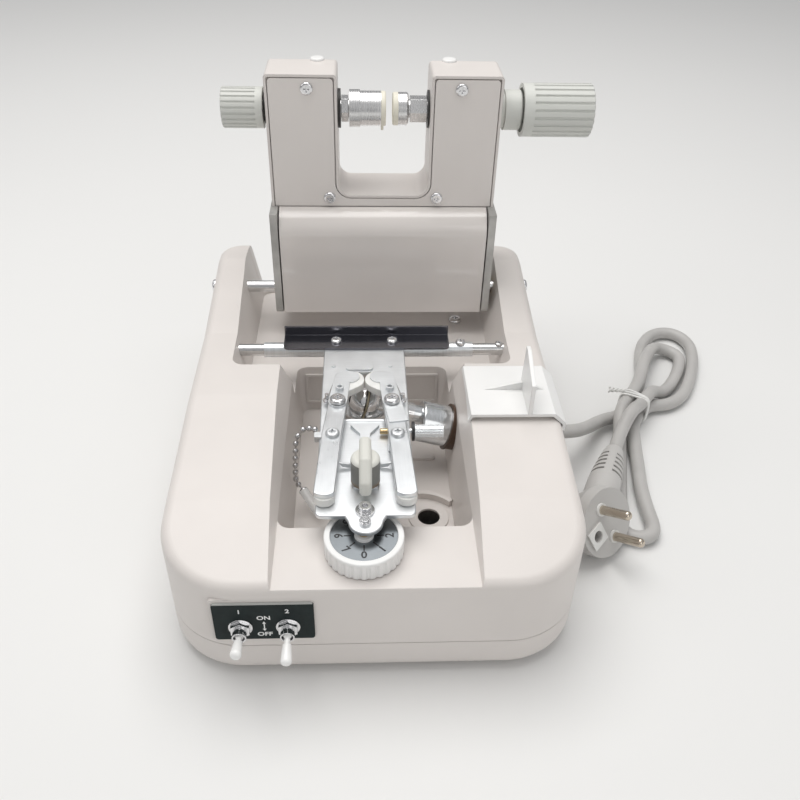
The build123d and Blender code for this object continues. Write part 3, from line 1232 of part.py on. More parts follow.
sleeve_x = (-60.5, -60.5 + SLEEVE_L)
with BuildPart() as guide_sleeve:
    add(bar((sleeve_x[0], ROD_Y, ROD_Z), (sleeve_x[1], ROD_Y, ROD_Z), SLEEVE_R, ROD_R + RUN))
    add(bar((SLEEVE_SCREW_X, ROD_Y, ROD_Z), (SLEEVE_SCREW_X, ROD_Y, ROD_Z + 2 * SLEEVE_R), 0.7),
        mode=Mode.SUBTRACT)
save(guide_sleeve.part, "guide_sleeve")

PLATE_Z = SHOE_TOP_Z - 6.7
plate_left = PLATE_X - PLATE_W / 2
plate_right = PLATE_X + PLATE_W / 2
plate_back = ROD_Y + 5
with BuildPart() as guide_plate:
    with BuildSketch(Plane.XY.offset(PLATE_Z - PLATE_T)):
        with Locations((PLATE_X, (plate_back + PLATE_FRONT_Y) / 2)):
            RectangleRounded(PLATE_W, plate_back - PLATE_FRONT_Y, 3.0)
        with Locations((PLATE_X, TONGUE_Y + TONGUE_R)):
            Circle(TONGUE_R)
        with BuildLine():
            Polyline(
                (PLATE_X - TONGUE_R - 1.8, PLATE_FRONT_Y + 0.5),
                (PLATE_X - TONGUE_R, PLATE_FRONT_Y - 3),
                (PLATE_X + TONGUE_R, PLATE_FRONT_Y - 3),
                (PLATE_X + TONGUE_R + 1.8, PLATE_FRONT_Y + 0.5),
                close=True,
            )
        make_face()
        with Locations((PLATE_X, (WINDOW_Y[0] + WINDOW_Y[1]) / 2)):
            RectangleRounded(WINDOW_W, WINDOW_Y[1] - WINDOW_Y[0], 2.0, mode=Mode.SUBTRACT)
        with Locations((plate_right, -49.5)):
            Rectangle(9.4, 13, mode=Mode.SUBTRACT)
    extrude(amount=PLATE_T)
    top_rim = guide_plate.faces().sort_by(Axis.Z)[-1].outer_wire().edges()
    fillet(top_rim, radius=0.6)
    # Raised tab, two dots and the rounded lip at the front of the window
    add(block((PLATE_X - 10, 4.0, PLATE_Z - 0.5), (PLATE_X + 4.5, 11.0, PLATE_Z + 1.0), 2.0))
    for x in DOT_X:
        add(bar((x, DOT_Y, PLATE_Z - 0.5), (x, DOT_Y, PLATE_Z + 0.6), 1.1))
    lip_y = WINDOW_Y[0] + 0.4
    add(bar((PLATE_X - WINDOW_W / 2 + 0.8, lip_y, PLATE_Z - 0.9),
            (PLATE_X + WINDOW_W / 2 - 0.8, lip_y, PLATE_Z - 0.9), 1.6))
    # Saddle on the sleeve
    add(block((plate_left + 2, ROD_Y - 3.5, ROD_Z + 2),
              (plate_right - 2, ROD_Y + 3.5, PLATE_Z - PLATE_T + 0.2)))
    add(bar((-60, ROD_Y, ROD_Z), (60, ROD_Y, ROD_Z), SLEEVE_R), mode=Mode.SUBTRACT)
    # Lug that holds the chain
    add(block((plate_left - 2.4, -52, PLATE_Z - PLATE_T), (plate_left + 2, -48, PLATE_Z + 1.2), 0.6))
    for x, y, r in PLATE_HOLES:
        add(bar((x, y, PLATE_Z - 10), (x, y, PLATE_Z + 5), r), mode=Mode.SUBTRACT)
save(guide_plate.part, "guide_plate")

bracket_x = (-49.0, -49.0 + BRACKET_W)
with BuildPart() as splash_bracket:
    back = ROD_Y + 4.5
    add(block((bracket_x[0], ROD_Y - 10, PLATE_Z), (bracket_x[1], back, PLATE_Z + BRACKET_T), 0))
    add(block((bracket_x[0], back - BRACKET_T, PLATE_Z), (bracket_x[1], back, PLATE_Z + BRACKET_H), 0))
    corners = splash_bracket.edges().filter_by(Axis.Z).filter_by(lambda e: e.center().Y < ROD_Y - 9)
    fillet(corners, radius=3.0)
    for x in BRACKET_SCREWS:
        add(bar((x, BRACKET_SCREW_Y, PLATE_Z - 1), (x, BRACKET_SCREW_Y, PLATE_Z + 5), SCREW_R + 0.1),
            mode=Mode.SUBTRACT)
save(splash_bracket.part, "splash_bracket")

guide_screws = []
for x in BRACKET_SCREWS:
    guide_screws.append(screw((x, BRACKET_SCREW_Y, PLATE_Z + BRACKET_T), (0, 0, 1), 3.2, 1.8, SCREW_R,
                              3.0))
guide_screws.append(screw((SLEEVE_SCREW_X, ROD_Y, ROD_Z + SLEEVE_R), (0, 0, 1), 2.8, 1.8, 0.7, 0.7))
adjust = (PLATE_HOLES[0][0], PLATE_HOLES[0][1])
guide_screws.append(bar((*adjust, PLATE_Z), (*adjust, PLATE_Z + 0.8), 4.25))
guide_screws.append(bar((*adjust, PLATE_Z - 3.5), (*adjust, PLATE_Z), 1.6))
guide_screws.append(bar((*adjust, PLATE_Z + 0.8), (*adjust, PLATE_Z + 3.4), 2.7, 1.3))
guide_screws.append(bar((*adjust, PLATE_Z + 0.8), (*adjust, PLATE_Z + 1.6), 1.3))
stud = (PLATE_HOLES[1][0], PLATE_HOLES[1][1])
guide_screws.append(bar((*stud, STEM_TOP_Z + 0.05), (*stud, PLATE_Z + 2.6), 1.8))
guide_screws.append(bar((*stud, PLATE_Z), (*stud, PLATE_Z + 1.4), 2.6, 1.8))
save(group("guide_plate_screws", *guide_screws), "guide_plate_screws")

# Selector plate and mode knob
with BuildPart() as selector_plate:
    with BuildSketch(Plane.XY.offset(PLATE_Z + RUN)):
        with BuildLine():
            Polyline(
                (PLATE_X - 7.0, POSITION_Y + 6.0), (PLATE_X - 2.4, POSITION_Y - 0.5),
                (PLATE_X - 2.4, POSITION_Y - 9.5), (PLATE_X - 5.5, KNOB_Y + 12),
                (PLATE_X - 5.5, KNOB_Y - 4.5), (PLATE_X + 5.5, KNOB_Y - 4.5),
                (PLATE_X + 5.5, KNOB_Y + 12), (PLATE_X + 2.4, POSITION_Y - 9.5),
                (PLATE_X + 2.4, POSITION_Y - 0.5), (PLATE_X + 7.0, POSITION_Y + 6.0), close=True,
            )
        make_face()
    extrude(amount=1.55)
    # Pointed ears bent up beside the knob
    for side in (-1, 1):
        with BuildSketch(Plane.XZ.offset(-KNOB_Y - 10.6)):
            with BuildLine():
                Polyline(
                    (PLATE_X + side * 5.0, PLATE_Z + 0.3),
                    (PLATE_X + side * 10.5, PLATE_Z + 1.4),
                    (PLATE_X + side * 12.2, PLATE_Z + 3.7),
                    (PLATE_X + side * 7.2, PLATE_Z + 2.9),
                    (PLATE_X + side * 6.6, PLATE_Z + 1.5),
                    (PLATE_X + side * 5.0, PLATE_Z + 1.5),
                    close=True,
                )
            make_face()
        extrude(amount=1.2)
save(selector_plate.part, "selector_plate")

KNOB_Z = PLATE_Z + 1.9
with BuildPart() as knob_bar:
    with BuildSketch(Plane.YZ.offset(PLATE_X - KNOB_BAR_W / 2)):
        with BuildLine():
            Polyline(
                (KNOB_Y - KNOB_BAR_FRONT, KNOB_Z + 0.6),
                (KNOB_Y - KNOB_BAR_FRONT, KNOB_Z + KNOB_H - 5),
                (KNOB_Y - 5, KNOB_Z + KNOB_H + 3),
                (KNOB_Y + 10, KNOB_Z + KNOB_H + 3),
                (KNOB_Y + KNOB_BAR_REAR, KNOB_Z + KNOB_H - 3),
                (KNOB_Y + KNOB_BAR_REAR, KNOB_Z + 7),
                close=True,
            )
        make_face()
    extrude(amount=KNOB_BAR_W)
    fillet(knob_bar.edges().filter_by(Axis.X), radius=2.0)
    sides = knob_bar.faces().filter_by(Axis.X)
    fillet(sides.edges(), radius=KNOB_BAR_W * 0.38)
with BuildPart() as mode_knob:
    add(bar((PLATE_X, KNOB_Y, KNOB_Z), (PLATE_X, KNOB_Y, KNOB_Z + KNOB_H), KNOB_R))
    fillet(mode_knob.faces().sort_by(Axis.Z)[-1].edges(), radius=2.0)
    add(knob_bar.part)
save(mode_knob.part, "mode_knob")


# Guide arms with shoes; side is -1 for the left arm and 1 for the right one
def near_plate(side, across, y, z=0.0):
    """A point placed by its distance from the plate's centre line."""
    return (PLATE_X + side * across, y, z)


ARM_Z = PLATE_Z + ARM_GAP
SHOE_Z = ARM_Z - 1.3


def guide_arm(side):
    """A flat arm that widens its distance from the middle toward the front."""
    half = ARM_W / 2
    with BuildPart() as made:
        with BuildSketch(Plane.XY.offset(ARM_Z)):
            with BuildLine():
                inner_end = near_plate(side, ARM_FRONT_X - half, ARM_FRONT_Y)[:2]
                outer_end = near_plate(side, ARM_FRONT_X + half, ARM_FRONT_Y)[:2]
                ThreePointArc(inner_end,
                              near_plate(side, ARM_FRONT_X, ARM_FRONT_Y - ARM_END_BULGE)[:2],
                              outer_end)
                outer_rear = near_plate(side, PIVOT_X + half, PIVOT_Y)[:2]
                inner_rear = near_plate(side, PIVOT_X - half, PIVOT_Y)[:2]
                Polyline(outer_end, near_plate(side, ARM_MID_X + half, ARM_SCREW_Y)[:2], outer_rear)
                ThreePointArc(outer_rear, near_plate(side, PIVOT_X, PIVOT_Y + half)[:2], inner_rear)
                Polyline(inner_rear, near_plate(side, ARM_MID_X - half, ARM_SCREW_Y)[:2], inner_end)
            make_face()
        extrude(amount=ARM_T)
        ends = made.edges().filter_by(Axis.Z).filter_by(lambda e: e.center().Y < ARM_FRONT_Y + 1)
        fillet(ends, radius=1.8)
        top_rim = made.faces().sort_by(Axis.Z)[-1].edges()
        fillet(top_rim, radius=0.5)
        add(bar(near_plate(side, PIVOT_X, PIVOT_Y, ARM_Z - 1),
                near_plate(side, PIVOT_X, PIVOT_Y, ARM_Z + 5), PIVOT_R + RUN),
            mode=Mode.SUBTRACT)
        screw_low = near_plate(side, ARM_MID_X - 0.5, ARM_SCREW_Y, ARM_Z - 1)
        screw_high = near_plate(side, ARM_MID_X - 0.5, ARM_SCREW_Y, ARM_Z + 5)
        add(bar(screw_low, screw_high, 1.3), mode=Mode.SUBTRACT)
    return made


left_arm = guide_arm(-1)
save(left_arm.part, "left_arm")

right_arm = guide_arm(1)
with BuildPart() as right_arm_block:
    add(right_arm.part)
    low = near_plate(1, 10.9, POSITION_Y - 12.5, PLATE_Z + 0.4)
    high = near_plate(1, 21.4, POSITION_Y + 5.5, ARM_Z + 0.1)
    add(block(low, high, 1.0))
    add(bar((-10, POSITION_Y, POSITION_Z), (20, POSITION_Y, POSITION_Z), POSITION_R + RUN),
        mode=Mode.SUBTRACT)
    arm_screw = near_plate(1, ARM_MID_X - 0.5, ARM_SCREW_Y, ARM_Z + 1)
    add(bar(arm_screw, near_plate(1, ARM_MID_X - 0.5, ARM_SCREW_Y, ARM_Z - 2), 1.3), mode=Mode.SUBTRACT)
save(right_arm_block.part, "right_arm")


def shoe_plate(side, front_y):
    """The thin steel plate that joins a shoe to its arm, with its screws."""
    top = ARM_Z + ARM_T
    with BuildPart() as made:
        with BuildSketch(Plane.XY.offset(top)):
            elbow = (SHOE_ELBOW_X, SHOE_TIP_Y, SHOE_LEG_R)
            tip = (SHOE_TIP_X, SHOE_TIP_Y, SHOE_TIP_R)
            for near_end, far_end in ((tip, elbow), (elbow, (PIVOT_X, PIVOT_Y, SHOE_LEG_R + 0.7))):
                with BuildSketch(mode=Mode.PRIVATE) as leg:
                    for across, y, r in (near_end, far_end):
                        with Locations(near_plate(side, across, y)[:2]):
                            Circle(r)
                    make_hull()
                add(leg.sketch)
            if front_y is not None:
                with BuildLine():
                    Polyline(
                        near_plate(side, PIVOT_X - 4.4, PIVOT_Y)[:2],
                        near_plate(side, PIVOT_X + 4.7, PIVOT_Y)[:2],
                        near_plate(side, PIVOT_X + 7.6, front_y + 1.5)[:2],
                        near_plate(side, PIVOT_X - 1.6, front_y)[:2],
                        close=True,
                    )
                make_face()
        extrude(amount=SHOE_PLATE_T)
        add(bar(near_plate(side, PIVOT_X, PIVOT_Y, top - 1),
                near_plate(side, PIVOT_X, PIVOT_Y, top + 3), PIVOT_R + 0.2),
            mode=Mode.SUBTRACT)
        add(screw(near_plate(side, ARM_MID_X - 0.5, ARM_SCREW_Y, top), (0, 0, 1), 3.4, 1.9, 1.3, 4.0))
        socket = near_plate(side, SHOE_SCREW_X, SHOE_SCREW_Y, top + SHOE_PLATE_T)
        socket_top = near_plate(side, SHOE_SCREW_X, SHOE_SCREW_Y, top + SHOE_PLATE_T + 2.0)
        add(bar(socket, socket_top, 2.1, 1.1))
        socket_floor = near_plate(side, SHOE_SCREW_X, SHOE_SCREW_Y, top + SHOE_PLATE_T + 0.6)
        add(bar(socket, socket_floor, 1.2))
        add(bar(socket, near_plate(side, SHOE_SCREW_X, SHOE_SCREW_Y, SHOE_Z + 1.5), 1.3))
    return made.part


save(shoe_plate(-1, None), "left_shoe_plate")
save(shoe_plate(1, -48.6), "right_shoe_plate")


def shoe(side):
    """The nylon shoe beside the wheel and the nylon block under the front end of the arm."""
    top = ARM_Z + ARM_T
    with BuildPart() as made:
        with BuildSketch(Plane.XY.offset(SHOE_Z)):
            for across, y, r in ((SHOE_R + 0.2, SHOE_Y, SHOE_R), (SHOE_SCREW_X, SHOE_SCREW_Y, 3.0)):
                with Locations(near_plate(side, across, y)[:2]):
                    Circle(r)
            make_hull()
        extrude(amount=top - SHOE_Z)
        add(bar(near_plate(side, SHOE_SCREW_X, SHOE_SCREW_Y, SHOE_Z + 1.5),
                near_plate(side, SHOE_SCREW_X, SHOE_SCREW_Y, top + 2), 1.3), mode=Mode.SUBTRACT)
        inner = near_plate(side, 0, 0)
        edge = near_plate(side, 0.2, 0)
        low = (min(edge[0], edge[0] - side * 20), SHOE_Y - 20, SHOE_Z - 1)
        high = (max(edge[0], edge[0] - side * 20), SHOE_Y + 20, top + 1)
        add(block(low, high), mode=Mode.SUBTRACT)
        # Block with a bowed front
        with BuildSketch(Plane.XY.offset(PLATE_Z + 0.4)):
            with BuildLine():
                inner_front = near_plate(side, ARM_FRONT_X - 4.6, ARM_FRONT_Y)[:2]
                outer_front = near_plate(side, ARM_FRONT_X + 4.6, ARM_FRONT_Y)[:2]
                bow = near_plate(side, ARM_FRONT_X, ARM_FRONT_Y - ARM_BLOCK_BULGE)[:2]
                ThreePointArc(inner_front, bow, outer_front)
                Polyline(outer_front, near_plate(side, ARM_FRONT_X + 4.2, ARM_FRONT_Y + 12)[:2],
                         near_plate(side, ARM_FRONT_X - 5.0, ARM_FRONT_Y + 12)[:2], inner_front)
            make_face()
        extrude(amount=ARM_Z - PLATE_Z - 0.4)
    return made.part


save(shoe(-1), "left_shoe")
save(shoe(1), "right_shoe")


def coil(x, y, low_z, radius, wire, turns, pitch):
    """A small torsion spring wound round a post."""
    with BuildPart() as made:
        with BuildLine():
            path = Helix(pitch, pitch * turns, radius, center=(x, y, low_z))
        with BuildSketch(Plane(origin=path @ 0, z_dir=path % 0)):
            Circle(wire)
        sweep()
    return made.part


pivots = []
for side in (-1, 1):
    foot = near_plate(side, PIVOT_X, PIVOT_Y, PLATE_Z)
    pivots.append(bar(foot, near_plate(side, PIVOT_X, PIVOT_Y, ARM_Z - BODY_GAP), 3.1))
    top = ARM_Z + ARM_T + SHOE_PLATE_T + BODY_GAP
    pivots.append(bar(near_plate(side, PIVOT_X, PIVOT_Y, PLATE_Z - 3.0), foot, PIVOT_R))
    pivots.append(bar(near_plate(side, PIVOT_X, PIVOT_Y, ARM_Z - BODY_GAP),
                      near_plate(side, PIVOT_X, PIVOT_Y, top), PIVOT_R))
    pivots.append(screw(near_plate(side, PIVOT_X, PIVOT_Y, top), (0, 0, 1), 4.0, 2.1, 1.0, 0.5))
    pivots.append(coil(PLATE_X + side * PIVOT_X, PIVOT_Y, PLATE_Z + 0.7, 4.1, 0.4, 3, 0.95))
    # Post with the spring's eye round it, and the wire that runs back from the eye
    hook_x = PIVOT_X + 5.7
    hook = near_plate(side, hook_x, HOOK_Y, PLATE_Z)
    pivots.append(bar(hook, near_plate(side, hook_x, HOOK_Y, ARM_Z + ARM_T - 0.6), 1.0))
    pivots.append(bar(near_plate(side, hook_x, HOOK_Y, PLATE_Z + 2.0),
                      near_plate(side, hook_x, HOOK_Y, PLATE_Z + 2.8), 2.1, 1.0))
    pivots.append(bar(near_plate(side, hook_x - 0.2, HOOK_Y + 1.5, PLATE_Z + 2.4),
                      near_plate(side, PIVOT_X + 2.4, HOOK_Y + 15, PLATE_Z + 2.4), 0.45))
save(group("arm_pivots", *pivots), "arm_pivots")

# Position screw in the block of the right arm
with BuildPart() as position_screw:
    add(bar((POSITION_TIP_X, POSITION_Y, POSITION_Z), (POSITION_TIP_X + 16, POSITION_Y, POSITION_Z),
            POSITION_R))
    chamfer(position_screw.faces().sort_by(Axis.X)[0].edges(), length=0.4)
    flange_x = POSITION_TIP_X + 15.5
    add(bar((flange_x, POSITION_Y, POSITION_Z), (flange_x + 1.4, POSITION_Y, POSITION_Z), 4.8))
    grip = Plane(origin=(flange_x + 1.4, POSITION_Y, POSITION_Z), x_dir=(0, 1, 0), z_dir=(1, 0, 0))
    add(fluted(grip, 3.1, 13.9, 16, 0.35, 0.35))
save(position_screw.part, "position_screw")

# Ball chain and its clear peg
links = []
for here, after in zip(CHAIN, CHAIN[1:]):
    links.append(bar(here, after, 0.5))
with BuildPart() as beads:
    with Locations(*CHAIN[1:]):
        Sphere(1.5)
chain_end = bar(CHAIN[-1], PEG[0], 0.5)
with BuildPart() as peg:
    add(bar(PEG[0], PEG[1], 2.5))
    fillet(peg.edges().filter_by(GeomType.CIRCLE), radius=1.0)
save(group("ball_chain", beads.part, *links, chain_end, peg.part), "ball_chain")

# Depth dial and stem
DIAL_Z = LEDGE_Z + 0.5
with BuildPart() as depth_dial:
    add(fluted(Plane(origin=(DIAL_X, DIAL_Y, DIAL_Z)), DIAL_R, DIAL_H - DIAL_RIM_H, DIAL_FLUTES,
               DIAL_SCALLOP_R, DIAL_SCALLOP_DEPTH))
    # Smooth rim above the grooved side
    with BuildPart(mode=Mode.PRIVATE) as dial_rim:
        rim_foot = DIAL_Z + DIAL_H - DIAL_RIM_H
        add(bar((DIAL_X, DIAL_Y, rim_foot), (DIAL_X, DIAL_Y, DIAL_Z + DIAL_H), DIAL_R))
        fillet(dial_rim.faces().sort_by(Axis.Z)[-1].edges(), radius=DIAL_RIM_ROUND)
    add(dial_rim.part)
    add(bar((DIAL_X, DIAL_Y, DIAL_Z + DIAL_H - 0.7), (DIAL_X, DIAL_Y, DIAL_Z + DIAL_H + 1),
            DIAL_R - 2.6), mode=Mode.SUBTRACT)
    add(bar((DIAL_X, DIAL_Y, DIAL_Z), (DIAL_X, DIAL_Y, DIAL_Z + DIAL_H + 1.0), 4.2))
    add(bar((DIAL_X, DIAL_Y, DIAL_Z - 1), (DIAL_X, DIAL_Y, DIAL_Z + DIAL_H + 2), STEM_R + RUN),
        mode=Mode.SUBTRACT)
save(depth_dial.part, "depth_dial")
save(bar((DIAL_X, DIAL_Y, LEDGE_Z - 12), (DIAL_X, DIAL_Y, STEM_TOP_Z), STEM_R), "depth_stem")

# Cord gland, mains cord, tie and plug
with BuildPart() as cord_gland:
    add(bar((WALL_X - 5, CORD_EXIT_Y, CORD_EXIT_Z), (HALF_W + 2, CORD_EXIT_Y, CORD_EXIT_Z), GLAND_R))
    add(bar((HALF_W, CORD_EXIT_Y, CORD_EXIT_Z), (HALF_W + 2.5, CORD_EXIT_Y, CORD_EXIT_Z),
            GLAND_R + 1.8))
    with BuildSketch(Plane(origin=(HALF_W + 2, CORD_EXIT_Y, CORD_EXIT_Z), z_dir=(1, 0, 0))):
        Circle(GLAND_R)
    with BuildSketch(Plane(origin=(HALF_W + 5, CORD_EXIT_Y, CORD_EXIT_Z), z_dir=(1, 0, 0))):
        Circle(CORD_R + 0.9)
    loft()
    with BuildSketch(Plane(origin=(WALL_X, CORD_EXIT_Y, CORD_EXIT_Z), z_dir=(-1, 0, 0))):
        RegularPolygon(GLAND_R + 2, 6)
    extrude(amount=4)
    add(bar((0, CORD_EXIT_Y, CORD_EXIT_Z), (HALF_W + 20, CORD_EXIT_Y, CORD_EXIT_Z), CORD_R + RUN),
        mode=Mode.SUBTRACT)
save(cord_gland.part, "cord_gland")


def run_radii(points):
    """A bend radius for each inner corner of a route, from its shorter run and its turn."""
    radii = []
    for before, corner, after in zip(points, points[1:], points[2:]):
        into = Vector(*corner) - Vector(*before)
        out = Vector(*after) - Vector(*corner)
        half_turn = radians(into.get_angle(out)) / 2
        radii.append(0.45 * min(into.length, out.length) / tan(half_turn))
    return radii


cord_radii = run_radii(CORD_ROUTE)
print("cord radii", [round(r, 1) for r in cord_radii])
with BuildPart() as power_cord:
    with BuildLine() as cord_line:
        FilletPolyline(*CORD_ROUTE, radius=cord_radii)
    with BuildSketch(Plane(origin=cord_line.line @ 0, z_dir=cord_line.line % 0)):
        Circle(CORD_R)
    sweep()
save(power_cord.part, "power_cord")
cord_path = cord_line.wires()[0]
cord_length = cord_path.length
print("cord length", round(cord_length, 1), "volume", round(power_cord.part.volume),
      round(pi * CORD_R**2 * cord_length))
spots = [cord_path @ (i / 400) for i in range(401)]
spread = cord_length / 400
gaps = []
for i, a in enumerate(spots):
    for j in range(i + int(30 / spread), 401):
        gaps.append(((a - spots[j]).length - 2 * CORD_R, i, j))
print("least gap between strands", [(round(g, 2), i, j) for g, i, j in sorted(gaps)[:3]])

tie_way = Vector(*TIE_WAY).normalized()
tie_side = tie_way.cross(Vector(0, 0, 1))
tie_plane = Plane(origin=Vector(*TIE_AT) - tie_way * TIE_W / 2, x_dir=-tie_side, z_dir=tie_way)


def tie_loop(grow):
    with BuildPart() as made:
        with BuildSketch(tie_plane):
            with Locations(*TIE_STRANDS):
                Circle(CORD_R + grow)
            make_hull()
        extrude(amount=TIE_W)
    return made.part


with BuildPart() as cord_tie:
    add(tie_loop(TIE_T + TIE_SLACK))
    add(tie_loop(TIE_SLACK), mode=Mode.SUBTRACT)
    knot = Vector(*TIE_AT) - tie_side * 9.6 + Vector(0, 0, 8.0)
    add(bar(knot, knot + Vector(-6, -3, 1.5), 1.1))
    add(bar(knot, knot + Vector(-6, 3, 2.0), 1.1))
save(cord_tie.part, "cord_tie")

pin_way = Vector(*PLUG_FACING).normalized()
plug_at = Vector(*PLUG_AT)
pin_side = Vector(*PIN_LINE).normalized()
pin_side = (pin_side - pin_way * pin_side.dot(pin_way)).normalized()
face_plane = Plane(origin=plug_at, x_dir=pin_side, z_dir=pin_way)
relief_top = Vector(*RELIEF_TOP)
relief_way = (relief_top - (plug_at - pin_way * 9)).normalized()
relief_foot = relief_top - relief_way * 42
with BuildPart() as plug_body:
    with BuildSketch(face_plane):
        Circle(PLUG_R)
    extrude(amount=-7)
    with BuildSketch(face_plane.offset(-7)):
        Circle(PLUG_R)
    with BuildSketch(face_plane.offset(-17)):
        Circle(PLUG_R * 0.72)
    loft()
    with BuildSketch(Plane(origin=relief_foot - relief_way * 14, z_dir=relief_way)):
        Circle(9.0)
    with BuildSketch(Plane(origin=relief_foot + relief_way * 6, z_dir=relief_way)):
        Circle(9.5)
    with BuildSketch(Plane(origin=relief_top, z_dir=relief_way)):
        Circle(CORD_R + 1.4)
    loft()
    # Slots of the strain relief
    for step in range(5):
        ring = relief_foot + relief_way * (14 + step * 4.4)
        ring_plane = Plane(origin=ring, z_dir=relief_way)
        with BuildSketch(ring_plane):
            Circle(12)
            Circle(CORD_R + 1.7, mode=Mode.SUBTRACT)
            with PolarLocations(8, 4):
                Rectangle(9, 4.5, mode=Mode.SUBTRACT)
        extrude(amount=1.8, mode=Mode.SUBTRACT)
    # Collars of the pins and the socket of the earth contact
    with BuildSketch(face_plane):
        with Locations((-PIN_PITCH / 2, 0), (PIN_PITCH / 2, 0)):
            Circle(PIN_R + 0.9)
    extrude(amount=1.2)
    with BuildSketch(face_plane):
        with Locations((0, EARTH_OFFSET)):
            Rectangle(10.5, 10.5)
    extrude(amount=0.8)
    with BuildSketch(face_plane.offset(1)):
        with Locations((0, EARTH_OFFSET)):
            Circle(2.9)
    extrude(amount=-8, mode=Mode.SUBTRACT)
    with BuildSketch(face_plane.offset(2)):
        with Locations((-PIN_PITCH / 2, 0), (PIN_PITCH / 2, 0)):
            Circle(PIN_R)
    extrude(amount=-10, mode=Mode.SUBTRACT)
    add(bar(relief_top + relief_way, relief_top - relief_way * 14, CORD_R), mode=Mode.SUBTRACT)
save(plug_body.part, "plug_body")

with BuildPart() as plug_pins:
    with BuildSketch(face_plane.offset(-8)):
        with Locations((-PIN_PITCH / 2, 0), (PIN_PITCH / 2, 0)):
            Circle(PIN_R)
    extrude(amount=PIN_L + 8)
    tips = plug_pins.faces().filter_by(GeomType.PLANE).sort_by(Axis(plug_at, pin_way))[-2:]
    fillet(tips.edges(), radius=1.8)
save(plug_pins.part, "plug_pins")
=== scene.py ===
"""Looks of the lens groover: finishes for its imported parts, the mains lead, the dial and switch marks,
the plug's fittings and the studio round it. Metres, +Z up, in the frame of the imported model."""
import json
import math
import bpy
from bpy.props import FloatProperty, FloatVectorProperty, PointerProperty
from mathutils import Matrix, Vector

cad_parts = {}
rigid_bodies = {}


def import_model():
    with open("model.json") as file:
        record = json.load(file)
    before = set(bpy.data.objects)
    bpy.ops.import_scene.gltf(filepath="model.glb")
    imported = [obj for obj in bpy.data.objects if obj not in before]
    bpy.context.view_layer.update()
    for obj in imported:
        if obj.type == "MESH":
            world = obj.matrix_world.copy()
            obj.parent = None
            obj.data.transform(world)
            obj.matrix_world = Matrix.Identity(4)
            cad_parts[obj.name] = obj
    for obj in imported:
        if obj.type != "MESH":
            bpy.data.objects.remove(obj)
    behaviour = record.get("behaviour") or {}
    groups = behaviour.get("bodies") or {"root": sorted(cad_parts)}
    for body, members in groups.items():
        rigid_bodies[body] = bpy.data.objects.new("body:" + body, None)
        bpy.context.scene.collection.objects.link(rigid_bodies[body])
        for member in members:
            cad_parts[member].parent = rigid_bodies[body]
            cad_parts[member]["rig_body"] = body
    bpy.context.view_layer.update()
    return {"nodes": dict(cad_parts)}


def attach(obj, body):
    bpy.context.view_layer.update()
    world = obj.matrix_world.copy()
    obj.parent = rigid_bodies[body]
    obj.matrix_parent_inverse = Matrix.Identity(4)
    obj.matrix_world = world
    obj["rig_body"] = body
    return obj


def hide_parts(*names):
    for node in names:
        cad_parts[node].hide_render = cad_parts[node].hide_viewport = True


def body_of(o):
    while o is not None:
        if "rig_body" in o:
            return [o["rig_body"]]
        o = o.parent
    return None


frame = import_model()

bl_info = {
    "name": "Lens groover looks",
    "version": (1, 0, 0),
    "blender": (4, 5, 0),
    "location": "View3D > Sidebar > Groover",
    "description": "Dresses the packed parts of a table lens groover and lights them",
    "category": "Object",
}

MM = 0.001
ALONG_X, ALONG_Y, ALONG_Z = (1, 0, 0), (0, 1, 0), (0, 0, 1)
UP = Vector(ALONG_Z)

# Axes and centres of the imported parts, and where their finish changes
CHUCK_LINE = Vector((0.0, 0.106, 0.1788))
HINGE_LINE = Vector((0.0, 0.0955, 0.0723))
DRIVE_LINE = Vector((0.0, 0.106, 0.092))
ROD_LINE = Vector((0.0, 0.034, 0.0665))
SWITCH_LINE = Vector((0.0, 0.0, 0.0363))
WHEEL_CENTRE = Vector((-0.0044, -0.011, 0.0635))
WHEEL_WAY = Vector((0.96363, 0.0, -0.26724))
WHEEL_RIM_R = 0.0086
DRAIN_CENTRE = (0.0283, -0.0554)
DRAIN_BORE_R = 0.0062
DRAIN_BORE_TOP = 0.0216
SELECTOR_CENTRE = (-0.0044, -0.083)
SELECTOR_BAR_HALF = 0.0029
SELECTOR_CAP_Z = 0.0875
SELECTOR_FOOT = (0.0748, 0.0775)
STOP_SCREW_TIP = 0.0085
STOP_SCREW_FLANGE = 0.0181
STOP_SCREW_GRIP = 0.0195
PEG_TOP_Z = 0.0332
PEG_BACK_Y = -0.0495

# Dial: its centre, the height of its face, and the spacing of its numerals
DIAL_CENTRE = Vector((-0.0052, -0.1095, 0.0))
DIAL_FACE_Z = 0.0668
DIAL_PLATE_T = 0.0001
DIAL_PRINT_LIFT = 0.00012
DIAL_NUMERALS = 8

# Switch plate: where its print lies. A legend is its words, x and z
PRINT_Y = -0.13303
ARROW_SINK = 0.00003
PLATE_RIM_Z = 0.0507
ARROW_X, ARROW_Z = -0.0482, 0.0366
ARROW_HEAD_REACH = 0.0022
LEGENDS = (
    ("ON", ARROW_X, 0.0420), ("OFF", ARROW_X, 0.0312), ("1", -0.0584, 0.0462), ("2", -0.0380, 0.0462),
)

